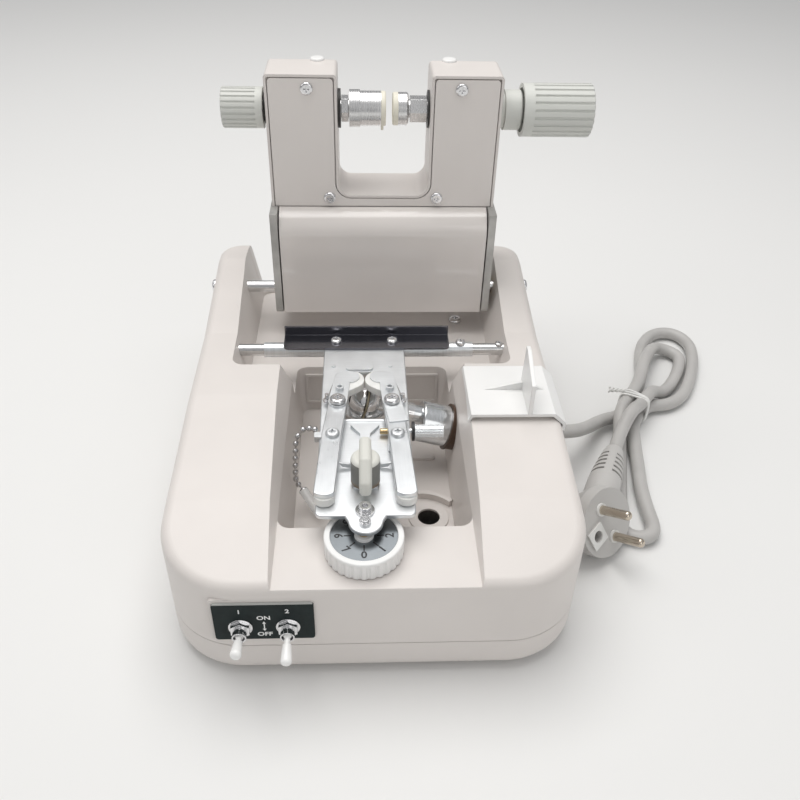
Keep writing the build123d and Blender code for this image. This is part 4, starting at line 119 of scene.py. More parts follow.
# Centre line of the mains lead in millimetres, from its gland round both loops to the plug
LEAD_ROUTE = (
    (83.0, 3.0, 30.0), (113.0, 3.0, 30.0), (130.0, 24.0, 16.0), (143.0, 41.5, 7.2),
    (157.4, 47.6, 5.8), (167.6, 60.5, 5.4), (176.0, 75.0, 4.6), (183.0, 92.0, 4.4),
    (187.5, 112.0, 4.4), (193.5, 130.5, 4.4), (205.5, 145.0, 4.4), (220.5, 146.0, 4.4),
    (228.5, 133.0, 4.4), (226.0, 114.0, 4.4), (216.0, 89.0, 4.4), (204.5, 69.0, 4.4),
    (191.5, 59.5, 4.8), (177.0, 58.4, 5.6), (163.4, 41.2, 5.6), (160.0, 22.0, 4.6),
    (157.0, 3.0, 4.4), (153.5, -16.0, 4.4), (152.4, -34.0, 4.4), (152.4, -50.3, 4.4),
    (145.9, -55.7, 4.4), (137.4, -54.2, 4.4), (132.9, -46.3, 4.4), (137.9, -31.5, 4.4),
    (142.0, -14.0, 4.4), (147.0, 6.0, 4.4), (151.0, 24.0, 6.2), (154.4, 43.4, 14.9),
    (168.0, 61.5, 14.6), (177.0, 78.0, 14.0), (184.5, 97.0, 13.4), (194.0, 114.0, 11.2),
    (201.0, 122.2, 7.4), (210.3, 122.1, 4.9), (216.2, 114.8, 4.4), (213.2, 104.6, 4.4),
    (207.5, 93.0, 4.4), (199.5, 80.5, 4.4), (191.0, 71.5, 5.6), (183.0, 67.0, 10.8),
    (177.2, 59.2, 14.8), (168.0, 46.2, 15.6), (158.6, 34.8, 20.7), (147.4, 17.5, 15.07),
    (135.64, -8.96, 15.97),
)

# Wire tie round the lead's runs: its middle, its way along them, half its width and its height
TIE_AT = Vector((0.166, 0.0515, 0.0058))
TIE_WAY = Vector((0.62, 0.785, 0.0)).normalized()
TIE_SPREAD = 0.0043
TIE_RISE = 0.0089
TIE_CORNER = 0.0036
TIE_NICK = 0.001
TIE_WAVE = 0.0011
TIE_LEANS = (-0.0016, 0.0002, 0.0018)
TWIST_STEPS = 14
TWIST_L = 0.0105

# Plug: the middle of its face, the way it faces and the line through its pins
PLUG_AT = Vector((0.1207, -0.0602, 0.0215))
PLUG_WAY = Vector((0.56, -0.70, 0.44)).normalized()
PIN_LINE = Vector((0.47, -0.16, -0.87))
PIN_REACH = 0.0095
TILE_DROP = 0.010

# Colours inside a finish
# Painted shade for the inside of the housing's drain bore
BORE_SHADE = (0.02, 0.018, 0.016)
RIM_HIGHLIGHT = (0.55, 0.56, 0.54)
# Painted highlight along the switch plate's top rim
GRIT = (0.42, 0.37, 0.27)
BLACKED = (0.02, 0.02, 0.022)
# Painted reflection of brass at the foot of the selector knob's flanks
BRASS_REFLECTION = (0.20, 0.13, 0.07)
CLEAR_DARK, CLEAR_PALE = (0.80, 0.83, 0.84), (0.93, 0.94, 0.94)

# Studio: lamps by place, target and width, the sky's brightness by height, and the camera
LAMPS = {
    "overhead": ((-0.10, 0.25, 1.30), (0.0, 0.0, 0.05), 1.1),
    "left_box": ((-1.1, -0.35, 0.9), (0.0, 0.0, 0.08), 0.7),
    "front_box": ((0.65, -1.15, 0.60), (0.0, 0.0, 0.06), 0.9),
}
LAMP_COLOUR = (1.0, 0.985, 0.965)
SKY_LEVELS = ((0.0, 0.75), (0.12, 0.85), (0.45, 1.05), (1.0, 1.5))
BACKDROP = (0.76, 0.77, 0.78, 1)
FLOOR_WIDTH = 8
CAMERA_AT = (-0.00528, -0.36059, 0.33432)
CAMERA_DOWN, CAMERA_ASIDE, CAMERA_ROLL = 37.59, -3.19, 1.61
SENSOR_WIDTH = 36
FOCAL_PIXELS, PICTURE_PIXELS = 837.36, 800


# Properties: helpers that declare one, then the groups
def tint(label, about, colour):
    return FloatVectorProperty(name=label, description=about, subtype="COLOR", size=3, min=0, max=1,
                               default=colour)


def length(label, about, metres):
    return FloatProperty(name=label, description=about, unit="LENGTH", min=0, precision=5, default=metres)


def watts(label, about, power):
    return FloatProperty(name=label, description=about, min=0, default=power)


class GrooverColours(bpy.types.PropertyGroup):
    """Colours of the groover's finishes."""
    shell: tint("Housing", "Moulded housing, head and base", (0.725, 0.685, 0.655))
    white: tint("White parts", "Motor cover, dial, plugs and switch levers", (0.86, 0.86, 0.85))
    knob: tint("Knobs", "Side knobs, grey-green", (0.64, 0.65, 0.615))
    selector: tint("Selector knob", "Knob on the guide plate", (0.70, 0.70, 0.65))
    lead: tint("Mains lead", "Lead, gland and plug", (0.49, 0.48, 0.465))
    tie: tint("Tie wire", "Wire that binds the lead's loops", (0.78, 0.78, 0.76))
    trim: tint("Plug trim", "Pin collars and earth tile of the plug", (0.74, 0.74, 0.72))
    pins: tint("Plug pins", "Nickel over brass", (0.62, 0.55, 0.46))
    plated: tint("Plated steel", "Guide plate and arms", (0.77, 0.79, 0.805))
    bracket: tint("Splash bracket", "Blued steel bracket behind the guide plate", (0.19, 0.19, 0.21))
    steel: tint("Ground steel", "Rods, shafts and motor", (0.60, 0.60, 0.60))
    wheel: tint("Wheel", "Turned body of the grooving wheel", (0.62, 0.62, 0.62))
    chrome: tint("Chrome", "Screws, nuts and ball chain", (0.80, 0.80, 0.81))
    turned: tint("Turned aluminium", "Chucks", (0.80, 0.80, 0.80))
    casting: tint("Bare casting", "Side plates of the head", (0.49, 0.485, 0.465))
    enamel: tint("Switch plate", "Dark printed plate", (0.009, 0.016, 0.016))
    dial_plate: tint("Dial plate", "Ring under the dial's numerals", (0.23, 0.25, 0.265))
    dial_ink: tint("Dial ink", "Numerals and ticks of the dial", (0.012, 0.012, 0.014))
    legend_ink: tint("Legend ink", "Print on the switch plate", (0.80, 0.82, 0.80))
    nylon: tint("Nylon", "Lens shoes and arm end blocks", (0.80, 0.80, 0.775))
    grommet: tint("Grommet", "Brown ring round the wheel motor", (0.075, 0.040, 0.022))
    brass: tint("Brass", "Bushes, stem and stop screw", (0.66, 0.50, 0.28))
    pad: tint("Chuck pads", "Pale rubber faces of the chucks", (0.80, 0.77, 0.66))
    rubber: tint("Rubber feet", "Feet under the base", (0.02, 0.02, 0.02))
    belt: tint("Belts", "Drive belts in the head", (0.03, 0.03, 0.03))
    bearing: tint("Bearings", "Spindle bearings of the head", (0.028, 0.027, 0.026))
    supply: tint("Power supply", "Lacquered case inside the housing", (0.13, 0.14, 0.15))
    motor: tint("Lens motor", "Lacquered motor inside the head", (0.12, 0.13, 0.14))


class GrooverSizes(bpy.types.PropertyGroup):
    """Sizes of the pieces that this file models."""
    lead_r: length("Lead radius", "Half of the mains lead's thickness", 0.004)
    tie_r: length("Tie wire radius", "Half of the tie wire's thickness", 0.0007)
    dial_plate_r: length("Dial plate radius", "Outer radius of the ring under the numerals", 0.0148)
    dial_hole_r: length("Dial hole radius", "Inner radius of the ring under the numerals", 0.0043)
    numeral_h: length("Numeral height", "Height of the dial's numerals", 0.0037)
    numeral_ring: length("Numeral ring", "Distance of the numerals from the dial's centre", 0.0112)
    tick_w: length("Tick width", "Width of a tick on the dial", 0.00065)
    tick_l: length("Tick length", "Length of a tick on the dial and of the arrow's stem", 0.0032)
    tick_ring: length("Tick ring", "Distance of the ticks from the dial's centre", 0.0072)
    legend_h: length("Legend height", "Height of ON and OFF", 0.0024)
    arrow_w: length("Arrow width", "Width of the arrow's stem on the switch plate", 0.0005)
    arrow_head_r: length("Arrow head", "Radius of the arrow's heads", 0.00095)
    print_t: length("Print thickness", "How far a printed mark stands proud", 0.00006)
    collar_r: length("Pin collar radius", "Outer radius of the collar round a plug pin", 0.0034)
    collar_hole_r: length("Pin collar hole", "Inner radius of the collar round a plug pin", 0.00245)
    collar_t: length("Pin collar thickness", "Height of the collar round a plug pin", 0.0013)
    tile_w: length("Earth tile width", "Side of the square round the plug's earth socket", 0.0108)
    tile_hole_r: length("Earth tile hole", "Radius of the plug's earth socket", 0.0031)
    tile_t: length("Earth tile thickness", "Height of the square round the earth socket", 0.0007)


class GrooverStudio(bpy.types.PropertyGroup):
    """Light and floor round the groover."""
    floor: tint("Floor", "Pale table top", (0.80, 0.80, 0.79))
    overhead: watts("Overhead", "Watts of the overhead softbox", 12.5)
    front_box: watts("Front", "Watts of the softbox by the camera", 2.6)
    left_box: watts("Left", "Watts of the left softbox", 1.3)
    sky: FloatProperty(name="Sky", description="Strength of the surrounding light", min=0, default=0.36)


# Node maths
class Term:
    """A node's output that takes part in sums."""

    def __init__(self, maker, socket):
        self.maker = maker
        self.socket = socket

    def __add__(self, other):
        return self.maker.maths("ADD", self, other)

    def __radd__(self, other):
        return self.maker.maths("ADD", other, self)

    def __sub__(self, other):
        return self.maker.maths("SUBTRACT", self, other)

    def __rsub__(self, other):
        return self.maker.maths("SUBTRACT", other, self)

    def __mul__(self, other):
        return self.maker.maths("MULTIPLY", self, other)

    def __rmul__(self, other):
        return self.maker.maths("MULTIPLY", other, self)

    def __pow__(self, other):
        return self.maker.maths("POWER", self, other)

    def __gt__(self, other):
        return self.maker.maths("GREATER_THAN", self, other)

    def __lt__(self, other):
        return self.maker.maths("LESS_THAN", self, other)

    def __abs__(self):
        return self.maker.maths("ABSOLUTE", self, 0.0)


class Finish:
    """A material, or the sky, under construction."""

    def __init__(self, name, library=None):
        self.owner = (bpy.data.materials if library is None else library).new(name)
        self.owner.use_nodes = True
        self.tree = self.owner.node_tree
        self.tree.nodes.clear()

    def node(self, kind, settings=None, values=None, out=0):
        """Adds a node: its settings first, then the values or links of its sockets."""
        made = self.tree.nodes.new(kind)
        for key, value in (settings or {}).items():
            if key == "stops":
                elements = made.color_ramp.elements
                while len(elements) < len(value):
                    elements.new(0.5)
                for element, (place, colour) in zip(elements, value):
                    element.position = place
                    element.color = colour
            else:
                setattr(made, key, value)
        for key, value in (values or {}).items():
            if isinstance(value, Term):
                self.tree.links.new(value.socket, made.inputs[key])
            else:
                made.inputs[key].default_value = value
        return Term(self, made.outputs[out]) if made.outputs else made

    def maths(self, operation, first, second):
        return self.node("ShaderNodeMath", {"operation": operation}, {0: first, 1: second})

    def place(self, offset=(0, 0, 0), scale=(1, 1, 1), turn=(0, 0, 0)):
        """Object coordinates, moved, turned and scaled."""
        spot = self.node("ShaderNodeTexCoord", out=3)
        return self.node("ShaderNodeMapping", {}, {0: spot, 1: offset, 2: turn, 3: scale})

    def parts(self, vector):
        """The x, y and z of a vector."""
        split = self.node("ShaderNodeSeparateXYZ", {}, {0: vector}).socket.node
        return [Term(self, socket) for socket in split.outputs]

    def noise(self, vector, scale, detail=2.0, rough=0.5):
        return self.node("ShaderNodeTexNoise", {}, {"Vector": vector, "Scale": scale, "Detail": detail,
                                                    "Roughness": rough})

    def between(self, term, low, high, new_low=0.0, new_high=1.0):
        """Maps low to high onto a new range."""
        return self.node("ShaderNodeMapRange", {}, {0: term, 1: low, 2: high, 3: new_low, 4: new_high})

    def mix(self, share, first, second):
        """Mixes two colours by a share."""
        values = {0: share}
        for key, colour in ((6, first), (7, second)):
            values[key] = colour if isinstance(colour, Term) else (*colour[:3], 1.0)
        return self.node("ShaderNodeMix", {"data_type": "RGBA"}, values, 2)

    def bump(self, height, distance, strength=1.0, round_edge=0.0):
        values = {"Height": height, "Distance": distance, "Strength": strength}
        if round_edge:
            values["Normal"] = self.node("ShaderNodeBevel", {"samples": 4}, {"Radius": round_edge})
        return self.node("ShaderNodeBump", {}, values)

    def surface(self, values):
        shader = self.node("ShaderNodeBsdfPrincipled", {}, values)
        self.node("ShaderNodeOutputMaterial", {}, {"Surface": shader})
        return self.owner


def shade(colour, factor):
    """A colour made darker or paler."""
    return tuple(min(1.0, c * factor) for c in colour)


def moulded(name, colour, rough=0.42, grain=0.9, coat=0.0, cloud=0.03, edge=0.0005, sheen=0.5, hollow=None):
    """Moulded plastic: a fine eroded grain, faint clouds in the colour and softened edges.

    hollow is the middle of a drain bore whose inside is painted nearly black as shade."""
    finish = Finish(name)
    at = finish.place()
    clouds = finish.noise(at, 22.0, 3.0)
    fine = finish.noise(at, 1500.0, 2.0, 0.6)
    pores = finish.noise(at, 420.0, 1.0)
    tone = finish.between(clouds, 0.3, 0.7)
    body = finish.mix(tone, shade(colour, 1 - cloud), shade(colour, 1 + cloud))
    if hollow:
        x, y, z = finish.parts(at)
        reach = ((x - hollow[0]) ** 2 + (y - hollow[1]) ** 2) ** 0.5
        bore = (reach < DRAIN_BORE_R) * (z < DRAIN_BORE_TOP)
        # Painted shade: inside the drain bore the colour is darkened nearly to black
        body = finish.mix(bore * 0.92, body, BORE_SHADE)
    height = fine * 0.7 + pores * 0.3
    roughness = rough + (clouds - 0.5) * 0.10 + (fine - 0.5) * 0.08
    return finish.surface({
        "Base Color": body, "Roughness": roughness, "IOR": 1.49, "Specular IOR Level": sheen,
        "Coat Weight": coat, "Coat Roughness": 0.06,
        "Normal": finish.bump(height, 0.00006 * grain, 0.7, edge)})


def drawn(name, colour, rough=0.28, along=(1, 0, 0), lines=1.0, cloud=0.04, edge=0.0003, metallic=1.0):
    """Ground or plated metal with fine lines along one way."""
    finish = Finish(name)
    stretch = tuple(90.0 if part else 2600.0 for part in along)
    at = finish.place(scale=stretch)
    scratch = finish.noise(at, 1.0, 3.0, 0.65)
    mottle = finish.noise(finish.place(), 120.0, 3.0)
    tone = finish.between(scratch + mottle, 0.6, 1.4)
    body = finish.mix(tone, shade(colour, 1 - cloud * 2), shade(colour, 1 + cloud))
    roughness = rough + (scratch - 0.5) * 0.16 * lines + (mottle - 0.5) * 0.12
    return finish.surface({
        "Base Color": body, "Metallic": metallic, "Roughness": roughness,
        "Normal": finish.bump(scratch, 0.00003 * lines, 0.6, edge)})


def lathed(name, colour, centre, way, rough=0.24, pitch=0.0005, edge=0.0003):
    """Turned metal: fine rings round an axis, on its faces and along its length."""
    finish = Finish(name)
    turn = Vector(way).to_track_quat("Z", "Y").to_matrix().inverted().to_4x4()
    move = turn @ Matrix.Translation(-Vector(centre))
    at = finish.place(offset=move.to_translation(), turn=move.to_euler())
    x, y, z = finish.parts(at)
    radius = (x * x + y * y) ** 0.5
    line = finish.node("ShaderNodeCombineXYZ", {}, {0: radius * (1 / pitch), 1: z * (1 / pitch)})
    rings = finish.noise(line, 1.0, 2.0, 0.6)
    mottle = finish.noise(finish.place(), 140.0, 2.0)
    tone = finish.between(rings, 0.3, 0.7)
    body = finish.mix(tone, shade(colour, 0.92), shade(colour, 1.04))
    roughness = rough + (rings - 0.5) * 0.18 + (mottle - 0.5) * 0.10
    return finish.surface({
        "Base Color": body, "Metallic": 1.0, "Roughness": roughness,
        "Normal": finish.bump(rings, 0.00004, 0.6, edge)})


def polished(name, colour, rough=0.12):
    """Bright plated metal with a faint haze and a few dull spots."""
    finish = Finish(name)
    at = finish.place()
    haze = finish.noise(at, 160.0, 3.0)
    spots = finish.noise(at, 700.0, 2.0)
    body = finish.mix(finish.between(haze, 0.3, 0.7), shade(colour, 0.93), shade(colour, 1.05))
    return finish.surface({
        "Base Color": body, "Metallic": 1.0, "Roughness": rough + (haze - 0.5) * 0.10 + (spots - 0.5) * 0.05,
        "Normal": finish.bump(spots, 0.00001, 0.4, 0.0003)})


def cast_metal(name, colour):
    """Bare casting: a sandy skin, dull grey with paler rubbed spots."""
    finish = Finish(name)
    at = finish.place()
    sand = finish.noise(at, 900.0, 4.0, 0.7)
    skin = finish.noise(at, 60.0, 4.0)
    tone = finish.between(skin, 0.35, 0.65)
    body = finish.mix(tone, shade(colour, 0.82), shade(colour, 1.22))
    return finish.surface({
        "Base Color": body, "Metallic": 0.35, "Roughness": 0.52 + (sand - 0.5) * 0.2,
        "Normal": finish.bump(sand * 0.6 + skin * 0.4, 0.00018, 0.7, 0.0005)})


def enamelled(name, colour):
    """The dark plate behind the switches: a satin print with a fine tooth and a pale painted highlight along
    its top rim.
    """
    finish = Finish(name)
    at = finish.place()
    tooth = finish.noise(at, 1900.0, 2.0)
    clouds = finish.noise(at, 160.0, 2.0)
    body = finish.mix(finish.between(clouds, 0.3, 0.7), shade(colour, 0.85), shade(colour, 1.35))
    # Painted highlight: above PLATE_RIM_Z the plate is paled where its top edge catches the light
    rim = finish.parts(at)[2] > PLATE_RIM_Z
    body = finish.mix(rim * 0.8, body, RIM_HIGHLIGHT)
    return finish.surface({
        "Base Color": body, "Roughness": 0.50 + (tooth - 0.5) * 0.2, "Specular IOR Level": 0.2,
        "Normal": finish.bump(tooth, 0.00004, 0.5, 0.0004)})


def cloudy_nylon(name, colour):
    """Milky nylon that lets a little light through."""
    finish = Finish(name)
    at = finish.place()
    clouds = finish.noise(at, 180.0, 3.0)
    fine = finish.noise(at, 1400.0, 2.0)
    body = finish.mix(finish.between(clouds, 0.3, 0.7), shade(colour, 0.9), shade(colour, 1.08))
    return finish.surface({
        "Base Color": body, "Roughness": 0.36 + (fine - 0.5) * 0.15, "Subsurface Weight": 0.25,
        "Subsurface Radius": (0.003, 0.003, 0.0028), "Subsurface Scale": 0.6,
        "Normal": finish.bump(fine, 0.00004, 0.5, 0.0005)})


def diamond_rim(name, body_colour):
    """The wheel: turned steel with a gritty cutting rim."""
    finish = Finish(name)
    at = finish.place()
    x, y, z = finish.parts(finish.node("ShaderNodeVectorMath", {"operation": "SUBTRACT"},
                                       {0: at, 1: tuple(WHEEL_CENTRE)}))
    radius = (x * x + y * y + z * z) ** 0.5
    grit = finish.node("ShaderNodeTexVoronoi", {}, {"Vector": at, "Scale": 4200.0})
    rim = radius > WHEEL_RIM_R
    body = finish.mix(rim, body_colour, GRIT)
    return finish.surface({
        "Base Color": body, "Metallic": 1.0, "Roughness": 0.26 + rim * grit * 0.5,
        "Normal": finish.bump(rim * grit, 0.0001, 0.8)})


def banded(name, tip, grip_colour):
    """The stop screw: a brass tip, a black flange and a pale nickel grip."""
    finish = Finish(name)
    at = finish.place()
    x = finish.parts(at)[0]
    wear = finish.noise(at, 300.0, 2.0)
    flange = (x > STOP_SCREW_FLANGE) - (x > STOP_SCREW_GRIP)
    body = finish.mix(x > STOP_SCREW_TIP, tip, grip_colour)
    body = finish.mix(flange, body, BLACKED)
    return finish.surface({
        "Base Color": body, "Metallic": 1.0 - flange, "Roughness": 0.2 + wear * 0.12 + flange * 0.15,
        "Normal": finish.bump(wear, 0.00002, 0.5, 0.0002)})


def shaded_knob(name, colour):
    """The selector knob: a pale bar and top over round flanks darkened as painted shade, with a painted brown
    reflection of brass at their foot.
    """
    finish = Finish(name)
    at = finish.place()
    x, y, z = finish.parts(at)
    # Painted shade: the round flanks, away from the bar and below the cap, are darkened to 0.30 of the colour
    flank = (abs(x - SELECTOR_CENTRE[0]) > SELECTOR_BAR_HALF) * (z < SELECTOR_CAP_Z)
    fine = finish.noise(at, 1500.0, 2.0, 0.6)
    clouds = finish.noise(at, 60.0, 2.0)
    tone = finish.between(clouds, 0.3, 0.7)
    body = finish.mix(tone, shade(colour, 0.97), shade(colour, 1.03))
    # Painted reflection: towards the flanks' foot a brown reflection of brass is mixed into the painted shade
    brass_reflection_share = finish.between(z, *SELECTOR_FOOT, 1.0, 0.0)
    dark = finish.mix(brass_reflection_share, shade(colour, 0.30), BRASS_REFLECTION)
    return finish.surface({
        "Base Color": finish.mix(flank, body, dark),
        "Roughness": 0.40 + (clouds - 0.5) * 0.1 + (fine - 0.5) * 0.08,
        "Normal": finish.bump(fine, 0.00005, 0.7, 0.0005)})


def clear_plastic(name):
    """The chain's clear peg."""
    finish = Finish(name)
    at = finish.place()
    swirl = finish.noise(at, 300.0, 2.0)
    return finish.surface({
        "Base Color": finish.mix(swirl, CLEAR_DARK, CLEAR_PALE), "Roughness": 0.12 + swirl * 0.1,
        "Alpha": 0.45 + (swirl - 0.5) * 0.2, "Coat Weight": 0.5})


def inked(name, colour, rough=0.5):
    """Printing ink with a slightly broken edge and sheen."""
    finish = Finish(name)
    at = finish.place()
    speck = finish.noise(at, 2600.0, 2.0)
    body = finish.mix(finish.between(speck, 0.35, 0.75), colour, shade(colour, 1.25))
    return finish.surface({"Base Color": body, "Roughness": rough + (speck - 0.5) * 0.2,
                           "Normal": finish.bump(speck, 0.00002, 0.4)})


def lead_skin(name, colour):
    """Soft vinyl of the mains lead: faint mottling and fine lengthwise rubs."""
    finish = Finish(name)
    at = finish.place()
    clouds = finish.noise(at, 70.0, 3.0)
    rubs = finish.noise(at, 900.0, 3.0, 0.7)
    body = finish.mix(finish.between(clouds, 0.3, 0.7), shade(colour, 0.95), shade(colour, 1.05))
    return finish.surface({
        "Base Color": body, "Roughness": 0.40 + (rubs - 0.5) * 0.22 + (clouds - 0.5) * 0.1,
        "Specular IOR Level": 0.45, "Normal": finish.bump(rubs * 0.6 + clouds * 0.4, 0.00007, 0.6)})


# Making pieces
def deselect():
    """Leaves edit mode with nothing selected."""
    active = bpy.context.view_layer.objects.active
    if active and active.mode != "OBJECT":
        bpy.ops.object.mode_set(mode="OBJECT")
    bpy.ops.object.select_all(action="DESELECT")


def apply_place(piece, place=None):
    """Puts a piece's place into its mesh and leaves its object at the origin."""
    bpy.context.view_layer.update()
    piece.data.transform(piece.matrix_world)
    if place is not None:
        piece.data.transform(place)
    piece.matrix_world = Matrix.Identity(4)
    piece.data.update()


def seat(piece, name, body, slot, material, *replaced):
    """Names a piece, gives it its finish and fixes it to a body."""
    piece.name = name
    piece.data.name = name
    piece.data.materials.clear()
    piece.data.materials.append(material)
    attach(piece, body)
    if replaced:
        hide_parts(*replaced)
    return piece


def paint(material, *nodes):
    """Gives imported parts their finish."""
    for node in nodes:
        slots = frame["nodes"][node].data.materials
        slots.clear()
        slots.append(material)


def join(pieces):
    """Makes several pieces one."""
    deselect()
    for piece in pieces:
        piece.select_set(True)
    bpy.context.view_layer.objects.active = pieces[0]
    if len(pieces) > 1:
        bpy.ops.object.join()
    return bpy.context.view_layer.objects.active


def plane_at(spot, x_way, z_way):
    """A matrix that lays a flat drawing at a spot, facing z_way."""
    z = Vector(z_way).normalized()
    x = (Vector(x_way) - z * Vector(x_way).dot(z)).normalized()
    y = z.cross(x)
    return Matrix.Translation(spot) @ Matrix((x, y, z)).transposed().to_4x4()


def lettering(words, height, thick, place, stretch=1.0):
    """Raised words, as a mesh, laid on a plane."""
    deselect()
    bpy.ops.object.text_add()
    piece = bpy.context.object
    piece.data.body = words
    piece.data.size = height * 1.42
    piece.data.align_x = "CENTER"
    piece.data.align_y = "CENTER"
    piece.data.extrude = thick / 2
    piece.data.offset = height * 0.03
    piece.data.resolution_u = 6
    piece.scale = (stretch, 1, 1)
    bpy.ops.object.convert(target="MESH")
    piece = bpy.context.object
    apply_place(piece, place)
    return piece


def plain_bar(size, place, bevel=0.0):
    """A small bar with softened edges, modelled from a cube."""
    deselect()
    bpy.ops.mesh.primitive_cube_add(size=1)
    piece = bpy.context.object
    piece.scale = size
    bpy.ops.object.transform_apply(location=False, rotation=False, scale=True)
    if bevel:
        bpy.ops.object.mode_set(mode="EDIT")
        bpy.ops.mesh.select_all(action="SELECT")
        bpy.ops.mesh.bevel(offset=bevel, segments=2)
        bpy.ops.object.mode_set(mode="OBJECT")
    apply_place(piece, place)
    return piece


def raise_flat(thick):
    """Draws a flat drawing in edit mode up into a slab, with its faces outwards."""
    bpy.ops.mesh.select_all(action="SELECT")
    bpy.ops.mesh.extrude_region_move(TRANSFORM_OT_translate={"value": (0, 0, thick)})
    bpy.ops.mesh.select_all(action="SELECT")
    bpy.ops.mesh.normals_make_consistent(inside=False)
    bpy.ops.object.mode_set(mode="OBJECT")


def flat_ring(outer, inner, around):
    """A flat ring at the origin, modelled from a disc by inset and delete, and left in edit mode."""
    deselect()
    bpy.ops.mesh.primitive_circle_add(vertices=around, radius=outer, fill_type="NGON")
    piece = bpy.context.object
    bpy.ops.object.mode_set(mode="EDIT")
    bpy.ops.mesh.select_all(action="SELECT")
    bpy.ops.mesh.inset(thickness=outer - inner, depth=0)
    bpy.ops.mesh.delete(type="FACE")
    return piece


def ring(outer, inner, thick, place, around=64):
    """A ring of square section."""
    piece = flat_ring(outer, inner, around)
    raise_flat(thick)
    apply_place(piece, place)
    return piece


def square_frame(width, hole, thick, place):
    """A square tile with a round hole, modelled from a ring whose rim is drawn out square."""
    piece = flat_ring(width / 2, hole, 48)
    bpy.ops.object.mode_set(mode="OBJECT")
    for vertex in piece.data.vertices:
        if vertex.co.length > hole * 1.2:
            vertex.co *= width / 2 / max(abs(vertex.co.x), abs(vertex.co.y))
    bpy.ops.object.mode_set(mode="EDIT")
    raise_flat(thick)
    apply_place(piece, place)
    return piece


def arrow_head(radius, thick, place):
    """A small raised triangle that points along its own x."""
    deselect()
    bpy.ops.mesh.primitive_circle_add(vertices=3, radius=radius, fill_type="NGON")
    piece = bpy.context.object
    bpy.ops.object.mode_set(mode="EDIT")
    raise_flat(thick)
    apply_place(piece, place)
    return piece


def line_through(name, spots, radius, order, around, fineness):
    """A round cord along a smooth curve through points, as a curve object."""
    curve = bpy.data.curves.new(name, "CURVE")
    curve.dimensions = "3D"
    spline = curve.splines.new("NURBS")
    spline.points.add(len(spots) - 1)
    for point, spot in zip(spline.points, spots):
        point.co = (*spot, 1)
    spline.order_u = order
    spline.use_endpoint_u = True
    spline.resolution_u = fineness
    curve.bevel_depth = radius
    curve.bevel_resolution = around
    curve.use_fill_caps = True
    piece = bpy.data.objects.new(name, curve)
    bpy.context.scene.collection.objects.link(piece)
    return piece


def wire(name, spots, radius, order=4, closed=False):
    """A wire bent along points, as a mesh."""
    piece = line_through(name, spots, radius, order, 3, 8)
    spline = piece.data.splines[0]
    spline.use_cyclic_u = closed
    spline.use_endpoint_u = not closed
    deselect()
    piece.select_set(True)
    bpy.context.view_layer.objects.active = piece
    bpy.ops.object.convert(target="MESH")
    return bpy.context.object


def frame_body(node):
    """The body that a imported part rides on."""
    return body_of(frame["nodes"][node])[0]


# Operators, one for each group of like pieces
class GROOVER_OT_housing(bpy.types.Operator):
    """Finish the housing, base, feet and motor cover"""
    bl_idname = "groover.housing"
    bl_label = "Housing"

    def execute(self, context):
        colours = context.scene.groover_colours
        paint(moulded("shell_grain", colours.shell, rough=0.40, grain=1.0, hollow=DRAIN_CENTRE),
              "housing", "bottom_shell")
        paint(moulded("rubber_feet_black", colours.rubber, rough=0.75, grain=2.0), "rubber_feet")
        paint(moulded("white_cover", colours.white, rough=0.34, grain=0.5, coat=0.1), "motor_cover")
        paint(polished("screw_chrome", colours.chrome, rough=0.14), "case_screws")
        paint(drawn("supply_lacquer", colours.supply, rough=0.4, metallic=0.6), "power_supply")
        return {"FINISHED"}


class GROOVER_OT_head(bpy.types.Operator):
    """Finish the lens head with its plates, cover and hinge"""
    bl_idname = "groover.head"
    bl_label = "Lens head"

    def execute(self, context):
        colours = context.scene.groover_colours
        paint(moulded("head_grain", colours.shell, rough=0.36, grain=0.7), "head_shell")
        paint(moulded("head_gloss", shade(colours.shell, 1.02), rough=0.20, grain=0.2, coat=0.7, cloud=0.02),
              "head_front_plate", "head_cover")
        paint(cast_metal("side_casting", colours.casting), "side_plates")
        paint(moulded("plug_white", colours.white, rough=0.32, grain=0.4), "head_plugs")
        paint(polished("head_screw_chrome", colours.chrome), "head_plate_screws")
        paint(lathed("shaft_steel", shade(colours.steel, 1.3), HINGE_LINE, ALONG_X, rough=0.18),
              "hinge_shaft")
        paint(lathed("bush_brass", colours.brass, HINGE_LINE, ALONG_X, rough=0.3), "head_bushes")
        paint(drawn("motor_lacquer", colours.motor, rough=0.4, metallic=0.5), "lens_motor")
        paint(lathed("drive_steel", colours.steel, DRIVE_LINE, ALONG_X, rough=0.3), "drive_shaft")
        paint(moulded("belt_black", colours.belt, rough=0.6, grain=2.0), "drive_belts")
        return {"FINISHED"}


class GROOVER_OT_chucks(bpy.types.Operator):
    """Finish the knobs, spindles, chucks and their pads"""
    bl_idname = "groover.chucks"
    bl_label = "Chucks and knobs"

    def execute(self, context):
        colours = context.scene.groover_colours
        paint(moulded("knob_grain", colours.knob, rough=0.44, grain=1.2),
              "left_knob", "right_knob", "clamp_collar")
        paint(lathed("chuck_aluminium", colours.turned, CHUCK_LINE, ALONG_X, rough=0.27, pitch=0.0004),
              "left_chuck", "right_chuck")
        paint(lathed("spindle_steel", shade(colours.steel, 1.1), CHUCK_LINE, ALONG_X, rough=0.16),
              "left_spindle", "right_spindle", "clamp_quill")
        paint(moulded("pad_rubber", colours.pad, rough=0.5, grain=1.0), "left_pad", "right_pad")
        paint(moulded("bearing_black", colours.bearing, grain=1.0), "spindle_bearings")
        return {"FINISHED"}


